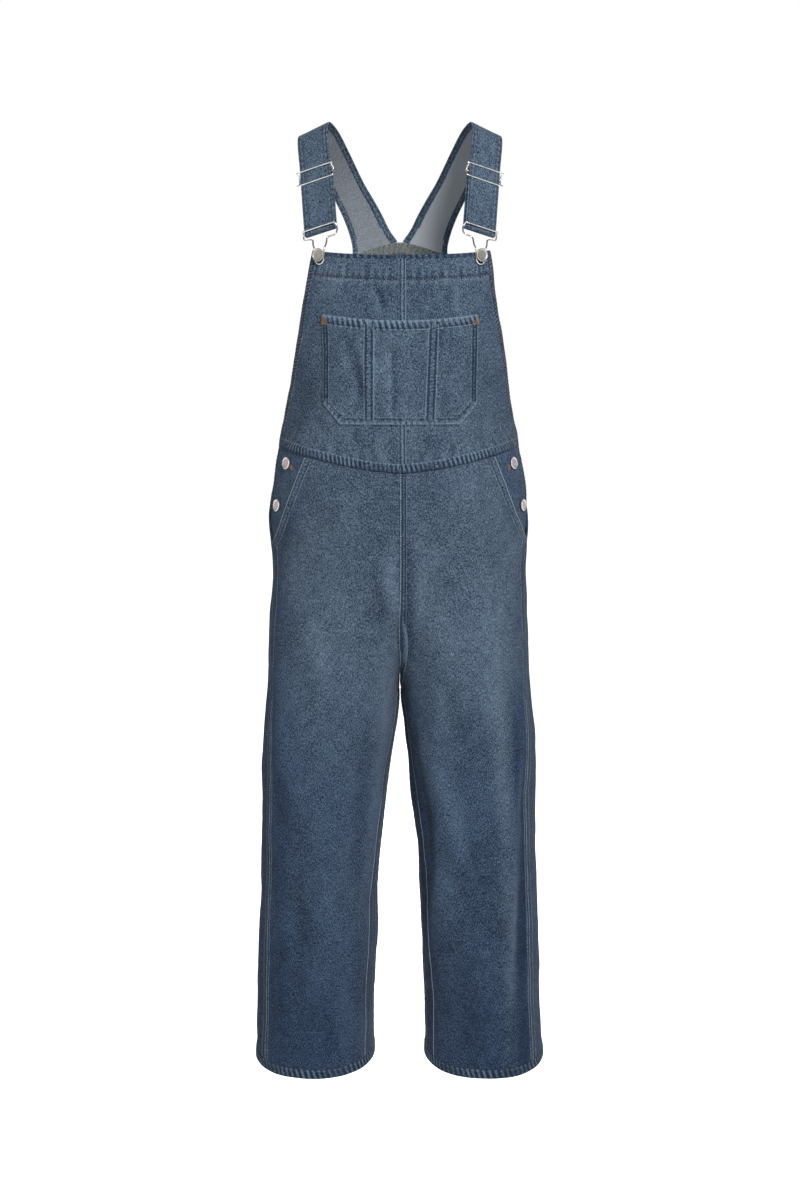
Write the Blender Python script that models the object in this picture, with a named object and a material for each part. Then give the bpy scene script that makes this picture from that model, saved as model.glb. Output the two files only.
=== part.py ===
"""Denim dungarees, hollow, as they hang from a pair of shoulders.

Metres, +Z up, front towards -Y, +X towards the left-hand side of the wearer.  The origin is where the
shoulders carry the garment: midway between the two straps at the top of the shoulders.  A drop is a
distance below the origin.  A side is -1 or +1, and follows the sign of X.  A face is +1 for the front
of the garment and -1 for its back.
"""

import math

import bmesh
import bpy
import numpy as np
from mathutils import Vector

# ---------------------------------------------------------------- driving dimensions, metres
CLOTH = 0.0015            # one ply of denim
STRAP_PLY = 0.0024        # a strap, folded and stitched
GAP = 0.0003              # between pieces at a seam
WAIST_GAP = 0.0005        # between a bib and the legs below it
LAP_GAP = 0.0011          # between two layers of coarse facets that lie on each other
SQUARE = 2.2              # exponent of the superellipse that the body rings follow
WAIST_SIDE = 0.4400       # drop of the waist seam at the side
WAIST_FRONT_SAG = 0.0335  # how far the seam dips towards centre front
WAIST_BACK_RISE = 0.0140  # how far it climbs towards centre back
WAIST_FADE = 0.1200       # the length of leg over which the seam's curve fades out
FORK_TOP = 0.6000         # drop at which the legs start to part
CROTCH = 0.7870           # drop of the crotch point
GATHER = 0.75             # how strongly the fork draws the panels' middles towards centre
HEM_SIDE = 1.3445         # drop of the hem at the side
HEM_DIP = 0.0075          # how far the hem dips at the front and the back
BIB_TOP = 0.1800          # drop of the bib's top edge at centre front
BIB_TOP_RISE = 0.0083     # how far that edge climbs to its corners
BACK_TOP = 0.1470         # drop of the back bib's peak
BACK_TOP_FALL = 0.0135    # how far its edge falls in the first 50 mm from the peak
SLIT_TOP = (0.1317, 0.4530)      # distance from centre and drop of the slant pocket's top end
SLIT_BOTTOM = (0.1820, 0.5780)   # the same for its lower end, at the side seam
FACING_UNDERLAP = 0.100   # radians that the hip facing runs on under the leg
FACING_SINK = (0.500, 0.555)     # drops between which its side edge sinks by a ply
PLACKET = (0.4450, 0.5350)       # drops of the button stand's ends
PLACKET_ANGLES = (-0.070, 0.160)  # radians from the side seam to its two long edges
POCKET_SEAM = ((-0.0415, -0.0425), (0.0460, 0.0405))   # pocket seams: x at the top, x at the bottom
POCKET_TOP = 0.2585       # drop of the bib pocket's top corners
POCKET_SAG = 0.0090       # how far its mouth sags at centre
POCKET_BASE = 0.4060      # drop of its bottom edge
POCKET_CHAMFER = (0.0230, 0.0280)  # width and height of its cut-off corners
POCKET_HALF = 0.1045      # half its width
STRAP_HALF = 0.0240       # half the width of a strap at the front
STRAP_STRAIGHT = 0.0120   # how far above the slider's middle bar the strap's straight stretch starts
SLIDER = (0.1165, -0.0410, -0.0660)   # where a strap passes the slider's middle bar
HOOK_BAR = (0.1100, -0.0730, -0.1425)  # where the strap turns round the hook
BAR_RADIUS = 0.0015       # the slider's middle bar and the hook's roller
WIRE_RADIUS = 0.0011      # the hooks and the slider frames
SLIDER_REACH = 0.0097     # half the distance between the slider's outer bars
BIB_BUTTON = (0.1080, 0.1785)     # distance from centre and drop of the bib buttons
BIB_BUTTON_RADIUS = 0.0095
SIDE_BUTTON_RADIUS = 0.0085
SIDE_BUTTONS = {"upper": (0.1585, 0.4620), "lower": (0.1732, 0.5220)}

# ---------------------------------------------------------------- tables of sections
# Rings of the trunk: half widths to either side, depths to the front and to the back.
TRUNK_COLUMNS = "drop left right front back"
TRUNK = (
    (0.140, 0.1600, 0.1620, 0.1180, 0.1180),
    (0.172, 0.1610, 0.1630, 0.1200, 0.1165),
    (0.240, 0.1640, 0.1650, 0.1230, 0.1120),
    (0.300, 0.1670, 0.1670, 0.1235, 0.1080),
    (0.360, 0.1690, 0.1680, 0.1235, 0.1050),
    (0.400, 0.1715, 0.1685, 0.1230, 0.1040),
    (0.440, 0.1725, 0.1690, 0.1225, 0.1050),
    (0.461, 0.1770, 0.1740, 0.1225, 0.1080),
    (0.490, 0.1810, 0.1800, 0.1225, 0.1130),
    (0.519, 0.1860, 0.1830, 0.1225, 0.1190),
    (0.547, 0.1890, 0.1850, 0.1225, 0.1250),
    (0.576, 0.1865, 0.1830, 0.1220, 0.1290),
    (0.605, 0.1850, 0.1820, 0.1210, 0.1310),
    (0.664, 0.1860, 0.1840, 0.1200, 0.1300),
    (0.723, 0.1910, 0.1855, 0.1190, 0.1270),
    (0.790, 0.1940, 0.1910, 0.1180, 0.1220),
)
# Rings of the legs: distance from centre of the inner and the outer edge on either side, and depths.
LEG_COLUMNS = "drop inner_left outer_left inner_right outer_right front back"
LEG = (
    (0.580, 0.0000, 0.1870, 0.0000, 0.1830, 0.1190, 0.1290),
    (0.700, 0.0000, 0.1890, 0.0000, 0.1850, 0.1190, 0.1270),
    (0.790, 0.0010, 0.1940, 0.0010, 0.1910, 0.1180, 0.1210),
    (0.841, 0.0040, 0.1985, 0.0055, 0.1960, 0.1170, 0.1170),
    (0.901, 0.0140, 0.2015, 0.0120, 0.1990, 0.1150, 0.1120),
    (0.962, 0.0210, 0.2030, 0.0180, 0.1995, 0.1120, 0.1080),
    (1.022, 0.0280, 0.2045, 0.0250, 0.2005, 0.1090, 0.1040),
    (1.084, 0.0325, 0.2060, 0.0285, 0.2030, 0.1060, 0.1010),
    (1.176, 0.0340, 0.2100, 0.0325, 0.2060, 0.1020, 0.0990),
    (1.238, 0.0370, 0.2130, 0.0365, 0.2080, 0.0990, 0.0970),
    (1.301, 0.0390, 0.2150, 0.0365, 0.2120, 0.0960, 0.0950),
    (1.360, 0.0390, 0.2155, 0.0365, 0.2145, 0.0940, 0.0940),
)
# How far the side seam and the inner leg seam are turned to the front, in degrees.
SEAM_COLUMNS = "drop side inseam"
SEAM = (
    (0.430, 6.0, 0.0),
    (0.500, 8.0, 0.0),
    (0.578, 12.0, 0.0),
    (0.620, 13.0, 0.0),
    (0.700, 16.0, 0.0),
    (0.800, 24.0, 2.0),
    (0.870, 28.0, 8.0),
    (1.000, 29.0, 12.0),
    (1.360, 31.0, 13.0),
)
# Half width of the bib and of the back bib.
BIB_COLUMNS = "drop left right"
BIB = (
    (0.165, 0.1175, 0.1210),
    (0.172, 0.1190, 0.1230),
    (0.238, 0.1320, 0.1320),
    (0.292, 0.1410, 0.1410),
    (0.347, 0.1530, 0.1510),
    (0.403, 0.1650, 0.1610),
    (0.432, 0.1710, 0.1675),
    (0.480, 0.1765, 0.1735),
)
BACK_BIB_COLUMNS = "drop half"
BACK_BIB = (
    (0.140, 0.070),
    (0.168, 0.072),
    (0.220, 0.083),
    (0.280, 0.098),
    (0.340, 0.118),
    (0.380, 0.136),
    (0.410, 0.153),
    (0.440, 0.167),
)
# The strap from the back bib to the slider.  Slope: how far its outer edge lies below the inner one.
# Sweep: how far the outer edge is turned to the back.  Both in degrees.
# Columns: x, y, z, half width, slope, sweep.
STRAP = (
    (0.0370, 0.1155, -0.1553, 0.0350, 17.0, -7.0),
    (0.0432, 0.1165, -0.1400, 0.0300, 24.0, -4.0),
    (0.0509, 0.1139, -0.1197, 0.0277, 27.0, -3.0),
    (0.0617, 0.1064, -0.0973, 0.0258, 29.0, -2.0),
    (0.0738, 0.0953, -0.0754, 0.0245, 29.0, 0.0),
    (0.0842, 0.0805, -0.0542, 0.0240, 28.0, 3.0),
    (0.0945, 0.0606, -0.0340, 0.0240, 27.0, 6.0),
    (0.1050, 0.0355, -0.0148, 0.0240, 25.0, 9.0),
    (0.1125, 0.0180, -0.0045, 0.0240, 24.0, 12.0),
    (0.1193, 0.0000, 0.0000, 0.0240, 23.3, 14.0),
    (0.1212, -0.0130, -0.0060, 0.0240, 21.0, 18.0),
    (0.1207, -0.0240, -0.0220, 0.0240, 19.0, 22.0),
    (0.1186, -0.0316, -0.0430, 0.0240, 17.0, 24.0),
)
FRONT_SLOPE = 16.0
FRONT_SWEEP = 24.0
# Half of the hook's wire.  Across is in millimetres from its middle.  Along runs from the strap's
# roller (0) to just above the button (1), and below is the stretch past that, in millimetres.  Lift is
# 1 in front of the strap and 0 level with the roller.
# Columns: across, along, below, lift.
WIRE = (
    (20.0, -0.06, 0.0, 1.00),
    (25.0, -0.05, 0.0, 0.75),
    (26.4, 0.06, 0.0, 0.20),
    (26.2, 0.20, 0.0, 0.00),
    (23.5, 0.30, 0.0, 0.00),
    (14.0, 0.34, 0.0, 0.00),
    (10.9, 0.40, 0.0, 0.00),
    (10.4, 0.54, 0.0, 0.00),
    (8.4, 0.80, 0.0, 0.00),
    (7.0, 1.00, 0.0, 0.00),
    (6.4, 1.00, 9.0, 0.00),
    (6.4, 1.00, 13.0, 0.00),
)
WIRE_END_RADIUS = 6.4     # millimetres, the round end of the hook's loop
HOOK_OFF_STRAP = 0.0025   # play between the bar of the hook and the strap that it crosses
WIRE_ABOVE = 0.009        # how far above the button's centre the wire meets the bib's plane
WIRE_OFF_BIB = 0.0028     # how far from the bib the wire lies there
# Outlines of the buttons from the cloth outwards: radius and height, in parts of the button's radius.
# Columns: radius, height.
BUTTON = (
    (0.28, 0.00),
    (0.28, 1.00),
    (0.92, 1.03),
    (1.00, 1.10),
    (1.00, 1.24),
    (0.95, 1.31),
    (0.84, 1.29),
    (0.79, 1.22),
)
BIB_BUTTON_NECK = 0.0044
SIDE_BUTTON_NECK = 0.0014

# ---------------------------------------------------------------- mesh fineness
LEG_COLUMNS_COUNT = 10
LEG_DROPS = (0.440, 0.450, 0.463, 0.490, 0.518, 0.547, 0.578, 0.610, 0.645, 0.680, 0.708, 0.733, 0.753,
             0.769, 0.780, 0.787, 0.800, 0.830, 0.870, 0.930, 1.000, 1.080, 1.170, 1.260, 1.3445)
BUTTON_SIDES = 16
WIRE_SIDES = 6


class Table:
    """Rows of sizes with named columns, read smoothly at any value of the first column."""

    def __init__(self, columns, rows):
        self.names = columns.split()
        self.rows = np.array(rows)
        self.key = self.rows[:, 0]
        self.slope = np.gradient(self.rows, self.key, axis=0)

    def read(self, name, where):
        column = self.names.index(name)
        row = int(np.clip(np.searchsorted(self.key, where) - 1, 0, len(self.key) - 2))
        step = self.key[row + 1] - self.key[row]
        t = min(max((where - self.key[row]) / step, 0.0), 1.0)
        low, high = self.rows[row, column], self.rows[row + 1, column]
        rise_low, rise_high = self.slope[row, column] * step, self.slope[row + 1, column] * step
        return (low * (1 + 2 * t) * (1 - t) ** 2 + high * t * t * (3 - 2 * t)
                + rise_low * t * (1 - t) ** 2 - rise_high * t * t * (1 - t))


trunk = Table(TRUNK_COLUMNS, TRUNK)
leg = Table(LEG_COLUMNS, LEG)
seam = Table(SEAM_COLUMNS, SEAM)
bib_edge = Table(BIB_COLUMNS, BIB)
back_edge = Table(BACK_BIB_COLUMNS, BACK_BIB)


# ---------------------------------------------------------------- shape functions
def hand(side):
    return "left" if side < 0 else "right"


def smooth(t):
    t = min(max(t, 0.0), 1.0)
    return t * t * (3 - 2 * t)


def power(value):
    """The superellipse's rounding of a sine or a cosine."""
    return math.copysign(abs(value) ** (2 / SQUARE), value)


def trunk_point(side, angle, drop):
    """Distance from centre and y on the trunk's ring.  The angle is 0 at the side and + to the front."""
    width = trunk.read(hand(side), drop)
    depth = trunk.read("front" if angle > 0 else "back", drop)
    return GAP / 2 + (width - GAP / 2) * power(math.cos(angle)), -depth * power(math.sin(angle))


def leg_point(side, angle, drop):
    inner = max(leg.read("inner_" + hand(side), drop), GAP / 2)
    outer = leg.read("outer_" + hand(side), drop)
    depth = leg.read("front" if math.sin(angle) > 0 else "back", drop)
    middle, half = (inner + outer) / 2, (outer - inner) / 2
    return middle + half * power(math.cos(angle)), -depth * power(math.sin(angle))


def edge_angle(distance, width):
    """The ring angle at which a point lies this far from centre."""
    return math.acos(min(distance / width, 1.0) ** (SQUARE / 2))


def side_angle(drop):
    return math.radians(seam.read("side", drop))


def slit_angle(side, drop):
    """Where the slant pocket's edge crosses a ring; the drop is taken at the side seam."""
    real = drop + (SLIT_TOP[1] - WAIST_SIDE) * (1 - smooth((drop - WAIST_SIDE) / WAIST_FADE))
    run = (real - SLIT_TOP[1]) / (SLIT_BOTTOM[1] - SLIT_TOP[1])
    distance = SLIT_TOP[0] + (SLIT_BOTTOM[0] - SLIT_TOP[0]) * run
    return edge_angle(distance, trunk.read(hand(side), real))


def waist_drop(face, angle):
    """Drop of the waist seam at a ring angle."""
    inward = 1 - power(abs(math.cos(angle))) ** 1.5 if face * angle > 0 else 0.0
    return WAIST_SIDE + (WAIST_FRONT_SAG if face > 0 else -WAIST_BACK_RISE) * inward


def trousers_point(side, face, across, drop, start):
    """A point of a trouser panel: across is 0 at its outer edge and 1 at centre or at the inner leg.

    Above the fork the panel follows the trunk's ring, below the crotch the leg's.  Between them the
    middle of the panel passes over smoothly, its points on the trunk's ring drawn towards centre to
    keep the depth full, and its inner edge draws the curve of the centre seam.
    """
    inseam = math.radians(seam.read("inseam", drop))
    edge = 0.0016 * face
    first = start + edge
    opened = min(max((drop - FORK_TOP) / (CROTCH - FORK_TOP), 0.0), 1.0)
    gathered = 1 - (1 - across) * abs(1 - across)
    trunk_across = across + (gathered - across) * GATHER * smooth(opened * 1.7)
    trunk_angle = first + trunk_across * (face * math.pi / 2 - first)
    leg_end = math.pi - inseam if face > 0 else -math.pi - inseam
    leg_angle = first + across * (leg_end - edge - first)
    weight = min(max(across, 0.0), 1.0) ** 3
    share = (1 - weight) * smooth(opened) + weight * opened ** 3.5
    real = drop
    if drop < WAIST_SIDE + WAIST_FADE:
        fade = 1 - smooth((drop - WAIST_SIDE) / WAIST_FADE)
        real += (waist_drop(face, trunk_angle) - WAIST_SIDE) * fade
    near_hem = max(0.0, (drop - HEM_SIDE) / 0.1 + 1)
    real += HEM_DIP * abs(math.sin(leg_angle)) * near_hem
    trunk_x, trunk_y = trunk_point(side, trunk_angle, real)
    leg_x, leg_y = leg_point(side, leg_angle, real)
    x = trunk_x + (leg_x - trunk_x) * share
    y = trunk_y + (leg_y - trunk_y) * share
    return Vector((side * x, y, -real))


def front_leg_point(side, across, drop):
    start = side_angle(drop)
    if drop < SLIT_BOTTOM[1]:
        start = max(start, slit_angle(side, drop))
    return trousers_point(side, 1, across, drop, start)


def back_leg_point(side, across, drop):
    return trousers_point(side, -1, across, drop, side_angle(drop))


def hip_point(side, angle, drop):
    """A point on the trunk's front above the pocket, with the waist seam's curve."""
    fade = 1 - smooth((drop - WAIST_SIDE) / WAIST_FADE)
    real = drop + (waist_drop(1, angle) - WAIST_SIDE) * fade
    x, y = trunk_point(side, angle, real)
    return Vector((side * x, y, -real))


def bib_point(side, across, down):
    """A point of half a bib: across is 0 at its side edge, down runs from 0 at the top to 1 at the waist."""
    top = BIB_TOP - BIB_TOP_RISE * (1 - across) ** 2
    drop = top
    for _ in range(3):
        width = trunk.read(hand(side), drop)
        edge = edge_angle(bib_edge.read(hand(side), drop), width)
        angle = edge + across * (math.pi / 2 - edge)
        drop = top + down * (waist_drop(1, angle) - WAIST_GAP - top)
    x, y = trunk_point(side, angle, drop)
    return Vector((side * x, y, -drop))


def bib_surface(x, drop):
    """A point of the bib's face at a given x."""
    width = trunk.read(hand(x), drop)
    depth = trunk.read("front", drop)
    return Vector((x, -depth * (1 - (abs(x) / width) ** SQUARE) ** (1 / SQUARE), -drop))


def back_bib_point(side, across, down):
    top = BACK_TOP + BACK_TOP_FALL * ((1 - across) * 0.072 / 0.050) ** 1.3 if across < 1 else BACK_TOP
    drop = top
    for _ in range(3):
        width = trunk.read(hand(side), drop)
        edge = edge_angle(back_edge.read("half", drop), width)
        angle = -edge - across * (math.pi / 2 - edge)
        drop = top + down * (waist_drop(-1, angle) - WAIST_GAP - top)
    x, y = trunk_point(side, angle, drop)
    return Vector((side * x, y, -drop))


# ---------------------------------------------------------------- building blocks
def material(name, colour, roughness, metallic=0.0):
    made = bpy.data.materials.new(name)
    made.use_nodes = True
    shader = made.node_tree.nodes["Principled BSDF"]
    shader.inputs["Base Color"].default_value = (*colour, 1.0)
    shader.inputs["Roughness"].default_value = roughness
    shader.inputs["Metallic"].default_value = metallic
    return made


def add_object(name, points, faces, finish, sharp_degrees=40):
    """One closed body from points and faces, turned so that its faces point out."""
    mesh = bpy.data.meshes.new(name)
    mesh.from_pydata([tuple(point) for point in points], [], faces)
    work = bmesh.new()
    work.from_mesh(mesh)
    bmesh.ops.triangulate(work, faces=work.faces[:])
    if work.calc_volume(signed=True) < 0:
        bmesh.ops.reverse_faces(work, faces=work.faces[:])
    work.to_mesh(mesh)
    work.free()
    mesh.shade_smooth()
    mesh.set_sharp_from_angle(angle=math.radians(sharp_degrees))
    mesh.materials.append(finish)
    made = bpy.data.objects.new(name, mesh)
    bpy.context.collection.objects.link(made)
    return made


def normal_at(surface, u, v, step_u, step_v):
    along_u = surface(u + step_u, v) - surface(u - step_u, v)
    along_v = surface(u, v + step_v) - surface(u, v - step_v)
    return along_u.cross(along_v).normalized()


def add_panel(name, surface, us, vs, finish, outward, lift=None, step_v=0.001, side=0):
    """A wall of cloth over the grid us x vs of a surface, with its outer face on the surface.

    outward(point) is a rough direction out of the garment, and lift(u, v) moves the wall along it.
    A side keeps the wall on that side of the centre seam.
    """
    outer, inner = [], []
    for v in vs:
        for u in us:
            point = surface(u, v)
            normal = normal_at(surface, u, v, 0.002, step_v)
            if normal.dot(outward(point)) < 0:
                normal.negate()
            raised = lift(u, v) if lift else 0.0
            for wall, height in ((outer, raised), (inner, raised - CLOTH)):
                place = point + normal * height
                if side:
                    place.x = side * max(side * place.x, GAP / 2)
                wall.append(place)
    return add_wall(name, outer, inner, len(us), len(vs), finish)


def add_wall(name, outer, inner, columns, rows, finish):
    """The closed wall between two grids of points, listed row by row."""
    count = columns * rows
    faces = []
    for row in range(rows - 1):
        for column in range(columns - 1):
            a = row * columns + column
            b, c, d = a + 1, a + columns + 1, a + columns
            faces.append((a, b, c, d))
            faces.append((a + count, d + count, c + count, b + count))
    rim = [column for column in range(columns)]
    rim += [row * columns + columns - 1 for row in range(1, rows)]
    rim += [(rows - 1) * columns + column for column in range(columns - 2, -1, -1)]
    rim += [row * columns for row in range(rows - 2, 0, -1)]
    for here, there in zip(rim, rim[1:] + rim[:1]):
        faces.append((there, here, here + count, there + count))
    return add_object(name, outer + inner, faces, finish)


def add_tube(name, route, radius, sides, finish, reference, closed):
    """A round bar or wire along a route.  The reference is never parallel to the route."""
    count = len(route)
    points = []
    for index, place in enumerate(route):
        before = route[(index - 1) % count] if closed else route[max(index - 1, 0)]
        after = route[(index + 1) % count] if closed else route[min(index + 1, count - 1)]
        tangent = (after - before).normalized()
        first = tangent.cross(reference).normalized()
        second = tangent.cross(first)
        for corner in range(sides):
            turn = 2 * math.pi * corner / sides
            points.append(place + (first * math.cos(turn) + second * math.sin(turn)) * radius)
    faces = []
    for index in range(count if closed else count - 1):
        for corner in range(sides):
            a, b = index * sides + corner, index * sides + (corner + 1) % sides
            c = ((index + 1) % count) * sides + (corner + 1) % sides
            d = ((index + 1) % count) * sides + corner
            faces.append((a, b, c, d))
    if not closed:
        faces.append(tuple(range(sides - 1, -1, -1)))
        faces.append(tuple(range((count - 1) * sides, count * sides)))
    return add_object(name, points, faces, finish)


def add_button(name, base, axis, radius, neck, finish):
    """A shank button: a neck that stands on the cloth, and a disc with a rolled rim."""
    first = axis.orthogonal().normalized()
    second = axis.cross(first)
    outline = [(radius * 0.28, 0.0)]
    outline += [(radius * ring, neck + radius * (height - 1.0)) for ring, height in BUTTON[1:]]
    points = []
    for ring, height in outline:
        for corner in range(BUTTON_SIDES):
            turn = 2 * math.pi * corner / BUTTON_SIDES
            points.append(base + axis * height + (first * math.cos(turn) + second * math.sin(turn)) * ring)
    faces = []
    for index in range(len(outline) - 1):
        for corner in range(BUTTON_SIDES):
            a, b = index * BUTTON_SIDES + corner, index * BUTTON_SIDES + (corner + 1) % BUTTON_SIDES
            faces.append((a, b, b + BUTTON_SIDES, a + BUTTON_SIDES))
    faces.append(tuple(range(BUTTON_SIDES - 1, -1, -1)))
    faces.append(tuple(range((len(outline) - 1) * BUTTON_SIDES, len(outline) * BUTTON_SIDES)))
    return add_object(name, points, faces, finish)


def spread(first, last, count):
    return [first + (last - first) * index / count for index in range(count + 1)]


def from_axis(point):
    return Vector((point.x, point.y, 0.0))


def from_leg_axis(side, drop_start):
    """Outwards from the trunk's axis above the fork, and from the leg's axis below it."""
    def outward(point):
        share = smooth((-point.z - drop_start) / 0.1)
        return Vector((point.x - side * 0.110 * share, point.y, 0.0))
    return outward


# ---------------------------------------------------------------- cloth pieces
def add_legs(denim):
    us = spread(0.0, 1.0, LEG_COLUMNS_COUNT)
    for side in (-1, 1):
        for label, shape in (("front_leg_", front_leg_point), ("back_leg_", back_leg_point)):
            add_panel(label + hand(side), lambda u, v: shape(side, u, v), us, LEG_DROPS, denim,
                      from_leg_axis(side, 0.70), side=side)


def facing_lift(side, angle, drop):
    """The facing sinks towards the slit and towards its lower end, to pass under the leg."""
    start = side_angle(drop)
    reach = max(slit_angle(side, drop) - start, 0.01)
    low = smooth((drop - FACING_SINK[0]) / (FACING_SINK[1] - FACING_SINK[0]))
    return -(CLOTH + LAP_GAP) * max(low, min(max((angle - start) / reach, 0.0), 1.0))


def add_hips(denim):
    drops = [drop for drop in LEG_DROPS if drop < SLIT_BOTTOM[1]] + [SLIT_BOTTOM[1] - 0.003]
    for side in (-1, 1):
        def angle_at(u, drop):
            start = side_angle(drop) + 0.0016
            slit = max(slit_angle(side, drop), start + 0.01)
            return start + min(u, 1.0) * (slit - start) + max(u - 1.0, 0.0) * FACING_UNDERLAP

        add_panel("hip_facing_" + hand(side), lambda u, v: hip_point(side, angle_at(u, v), v),
                  (0.0, 0.2, 0.4, 0.6, 0.8, 1.0, 1.5, 2.0), drops, denim, from_axis,
                  lift=lambda u, v: facing_lift(side, angle_at(u, v), v))

        def stand_angle(u, drop):
            low, high = PLACKET_ANGLES
            return side_angle(drop) + low + (high - low) * u

        add_panel("button_stand_" + hand(side), lambda u, v: hip_point(side, stand_angle(u, v), v),
                  spread(0.0, 1.0, 4), spread(*PLACKET, 5), denim, from_axis,
                  lift=lambda u, v: facing_lift(side, stand_angle(u, v), v) - CLOTH - LAP_GAP)


def add_bibs(denim):
    for side in (-1, 1):
        add_panel("bib_" + hand(side), lambda u, v: bib_point(side, u, v), spread(0.0, 1.0, 6),
                  spread(0.0, 1.0, 8), denim, from_axis, step_v=0.003)
        add_panel("back_bib_" + hand(side), lambda u, v: back_bib_point(side, u, v), spread(0.0, 1.0, 5),
                  spread(0.0, 1.0, 8), denim, from_axis, step_v=0.003)


def pocket_limits(x):
    """Drops of the bib pocket's mouth and bottom at a given x."""
    top = POCKET_TOP + POCKET_SAG * (1 - (x / POCKET_HALF) ** 2)
    cut = max(0.0, abs(x) - (POCKET_HALF - POCKET_CHAMFER[0])) / POCKET_CHAMFER[0]
    return top, POCKET_BASE - POCKET_CHAMFER[1] * cut


def add_bib_pocket(denim):
    (left_top, left_low), (right_top, right_low) = POCKET_SEAM
    inner_corner = POCKET_HALF - POCKET_CHAMFER[0]
    edges = {
        "left": ((-POCKET_HALF, -POCKET_HALF), (-inner_corner, -inner_corner),
                 (left_top - GAP / 2, left_low - GAP / 2)),
        "centre": ((left_top + GAP / 2, left_low + GAP / 2), (0.0, 0.0),
                   (right_top - GAP / 2, right_low - GAP / 2)),
        "right": ((right_top + GAP / 2, right_low + GAP / 2), (inner_corner, inner_corner),
                  (POCKET_HALF, POCKET_HALF)),
    }
    for label, stations in edges.items():
        def pocket_point(u, v):
            place = min(max(u, 0.0), 2.0)
            index = min(int(place), 1)
            part = u - index
            x = (stations[index][0] * (1 - part) + stations[index + 1][0] * part) * (1 - v)
            x += (stations[index][1] * (1 - part) + stations[index + 1][1] * part) * v
            top, base = pocket_limits(x)
            return bib_surface(x, top + (base - top) * v)

        add_panel("bib_pocket_" + label, pocket_point, spread(0.0, 2.0, 6), spread(0.0, 1.0, 4), denim,
                  from_axis, lift=lambda u, v: CLOTH + LAP_GAP / 2, step_v=0.01)


# ---------------------------------------------------------------- straps and their metal
class Front:
    """The straight front stretch of one strap: its axes, and places measured along them."""

    def __init__(self, side):
        self.side = side
        self.slider = Vector((side * SLIDER[0], *SLIDER[1:]))
        self.hook = Vector((side * HOOK_BAR[0], *HOOK_BAR[1:]))
        self.down = (self.hook - self.slider).normalized()
        across = width_direction(side, FRONT_SLOPE, FRONT_SWEEP)
        self.across = (across - self.down * across.dot(self.down)).normalized()
        self.out = self.across.cross(self.down).normalized()
        if self.out.y > 0:
            self.out.negate()
        self.length = (self.hook - self.slider).length

    def place(self, across, down, out):
        return self.slider + self.across * across + self.down * down + self.out * out


def width_direction(side, slope, sweep):
    """From a strap's inner edge to its outer edge."""
    slope, sweep = math.radians(slope), math.radians(sweep)
    return Vector((side * math.cos(slope) * math.cos(sweep), math.cos(slope) * math.sin(sweep),
                   -math.sin(slope)))


def fold_radius():
    """From a bar's centre to the middle of the strap that turns round it."""
    return BAR_RADIUS + GAP + STRAP_PLY / 2


def arc(front, down, start, end, steps):
    """Places round a bar that lies behind the front stretch."""
    radius = fold_radius()
    places = []
    for turn in spread(math.radians(start), math.radians(end), steps):
        places.append(front.place(0.0, down + radius * math.sin(turn), -radius + radius * math.cos(turn)))
    return places


def smooth_route(rows, steps):
    """Catmull-Rom curve through rows of numbers."""
    rows = np.array(rows)
    padded = np.vstack((2 * rows[0] - rows[1], rows, 2 * rows[-1] - rows[-2]))
    result = []
    for index in range(len(rows) - 1):
        before, low, high, after = padded[index:index + 4]
        for step in range(steps):
            t = step / steps
            result.append(0.5 * (2 * low + (high - before) * t + (2 * before - 5 * low + 4 * high - after) * t ** 2
                                 + (3 * low - before - 3 * high + after) * t ** 3))
    result.append(rows[-1])
    return result


def strap_stations(front):
    """Middle and half-width of a strap, from the back bib to its sewn end at the slider."""
    above = front.place(0.0, -STRAP_STRAIGHT, 0.0)
    rows = list(STRAP) + [(abs(above.x), above.y, above.z, STRAP_HALF, FRONT_SLOPE, FRONT_SWEEP)]
    stations = []
    for x, y, z, half, slope, sweep in smooth_route(rows, 2):
        stations.append((Vector((front.side * x, y, z)), width_direction(front.side, slope, sweep) * half))
    half = front.across * STRAP_HALF
    stations[-1] = (stations[-1][0], half)
    for down in [0.0] + spread(0.0, front.length, 4)[1:]:
        stations.append((front.place(0.0, down, 0.0), half))
    stations += [(place, half) for place in arc(front, front.length, 0, 180, 8)[1:]]
    back = -2 * fold_radius()
    for down in spread(front.length, 0.0, 4)[1:]:
        stations.append((front.place(0.0, down, back), half))
    stations += [(place, half) for place in arc(front, 0.0, 180, 270, 4)[1:]]
    return stations


def add_strap(front, denim):
    stations = strap_stations(front)
    outer, inner = [], []
    for index, (middle, half) in enumerate(stations):
        before = stations[max(index - 1, 0)][0]
        after = stations[min(index + 1, len(stations) - 1)][0]
        normal = (after - before).cross(half).normalized() * (STRAP_PLY / 2)
        outer += [middle - half + normal, middle + normal, middle + half + normal]
        inner += [middle - half - normal, middle - normal, middle + half - normal]
    add_wall("strap_" + hand(front.side), outer, inner, 3, len(stations), denim)


def add_slider(front, nickel):
    lift = STRAP_PLY / 2 + GAP + WIRE_RADIUS
    quarter = ((24.0, 1.0, 1.0), (26.2, 0.82, 0.5), (26.9, 0.45, -0.6), (27.0, 0.0, -1.1))
    corners = [(across, along, rise) for across, along, rise in quarter]
    corners += [(across, -along, rise) for across, along, rise in quarter[-2::-1]]
    corners += [(-across, along, rise) for across, along, rise in reversed(corners)]
    route = []
    for across, along, rise in corners:
        route.append(front.place(across / 1000, along * SLIDER_REACH, rise * lift))
    label = hand(front.side)
    add_tube("slider_" + label, route, WIRE_RADIUS, WIRE_SIDES, nickel, front.out, closed=True)
    reach = 0.0270 - WIRE_RADIUS - GAP
    ends = [front.place(-reach, 0.0, -fold_radius()), front.place(reach, 0.0, -fold_radius())]
    add_tube("slider_bar_" + label, ends, BAR_RADIUS, 8, nickel, front.down, closed=False)


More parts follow.
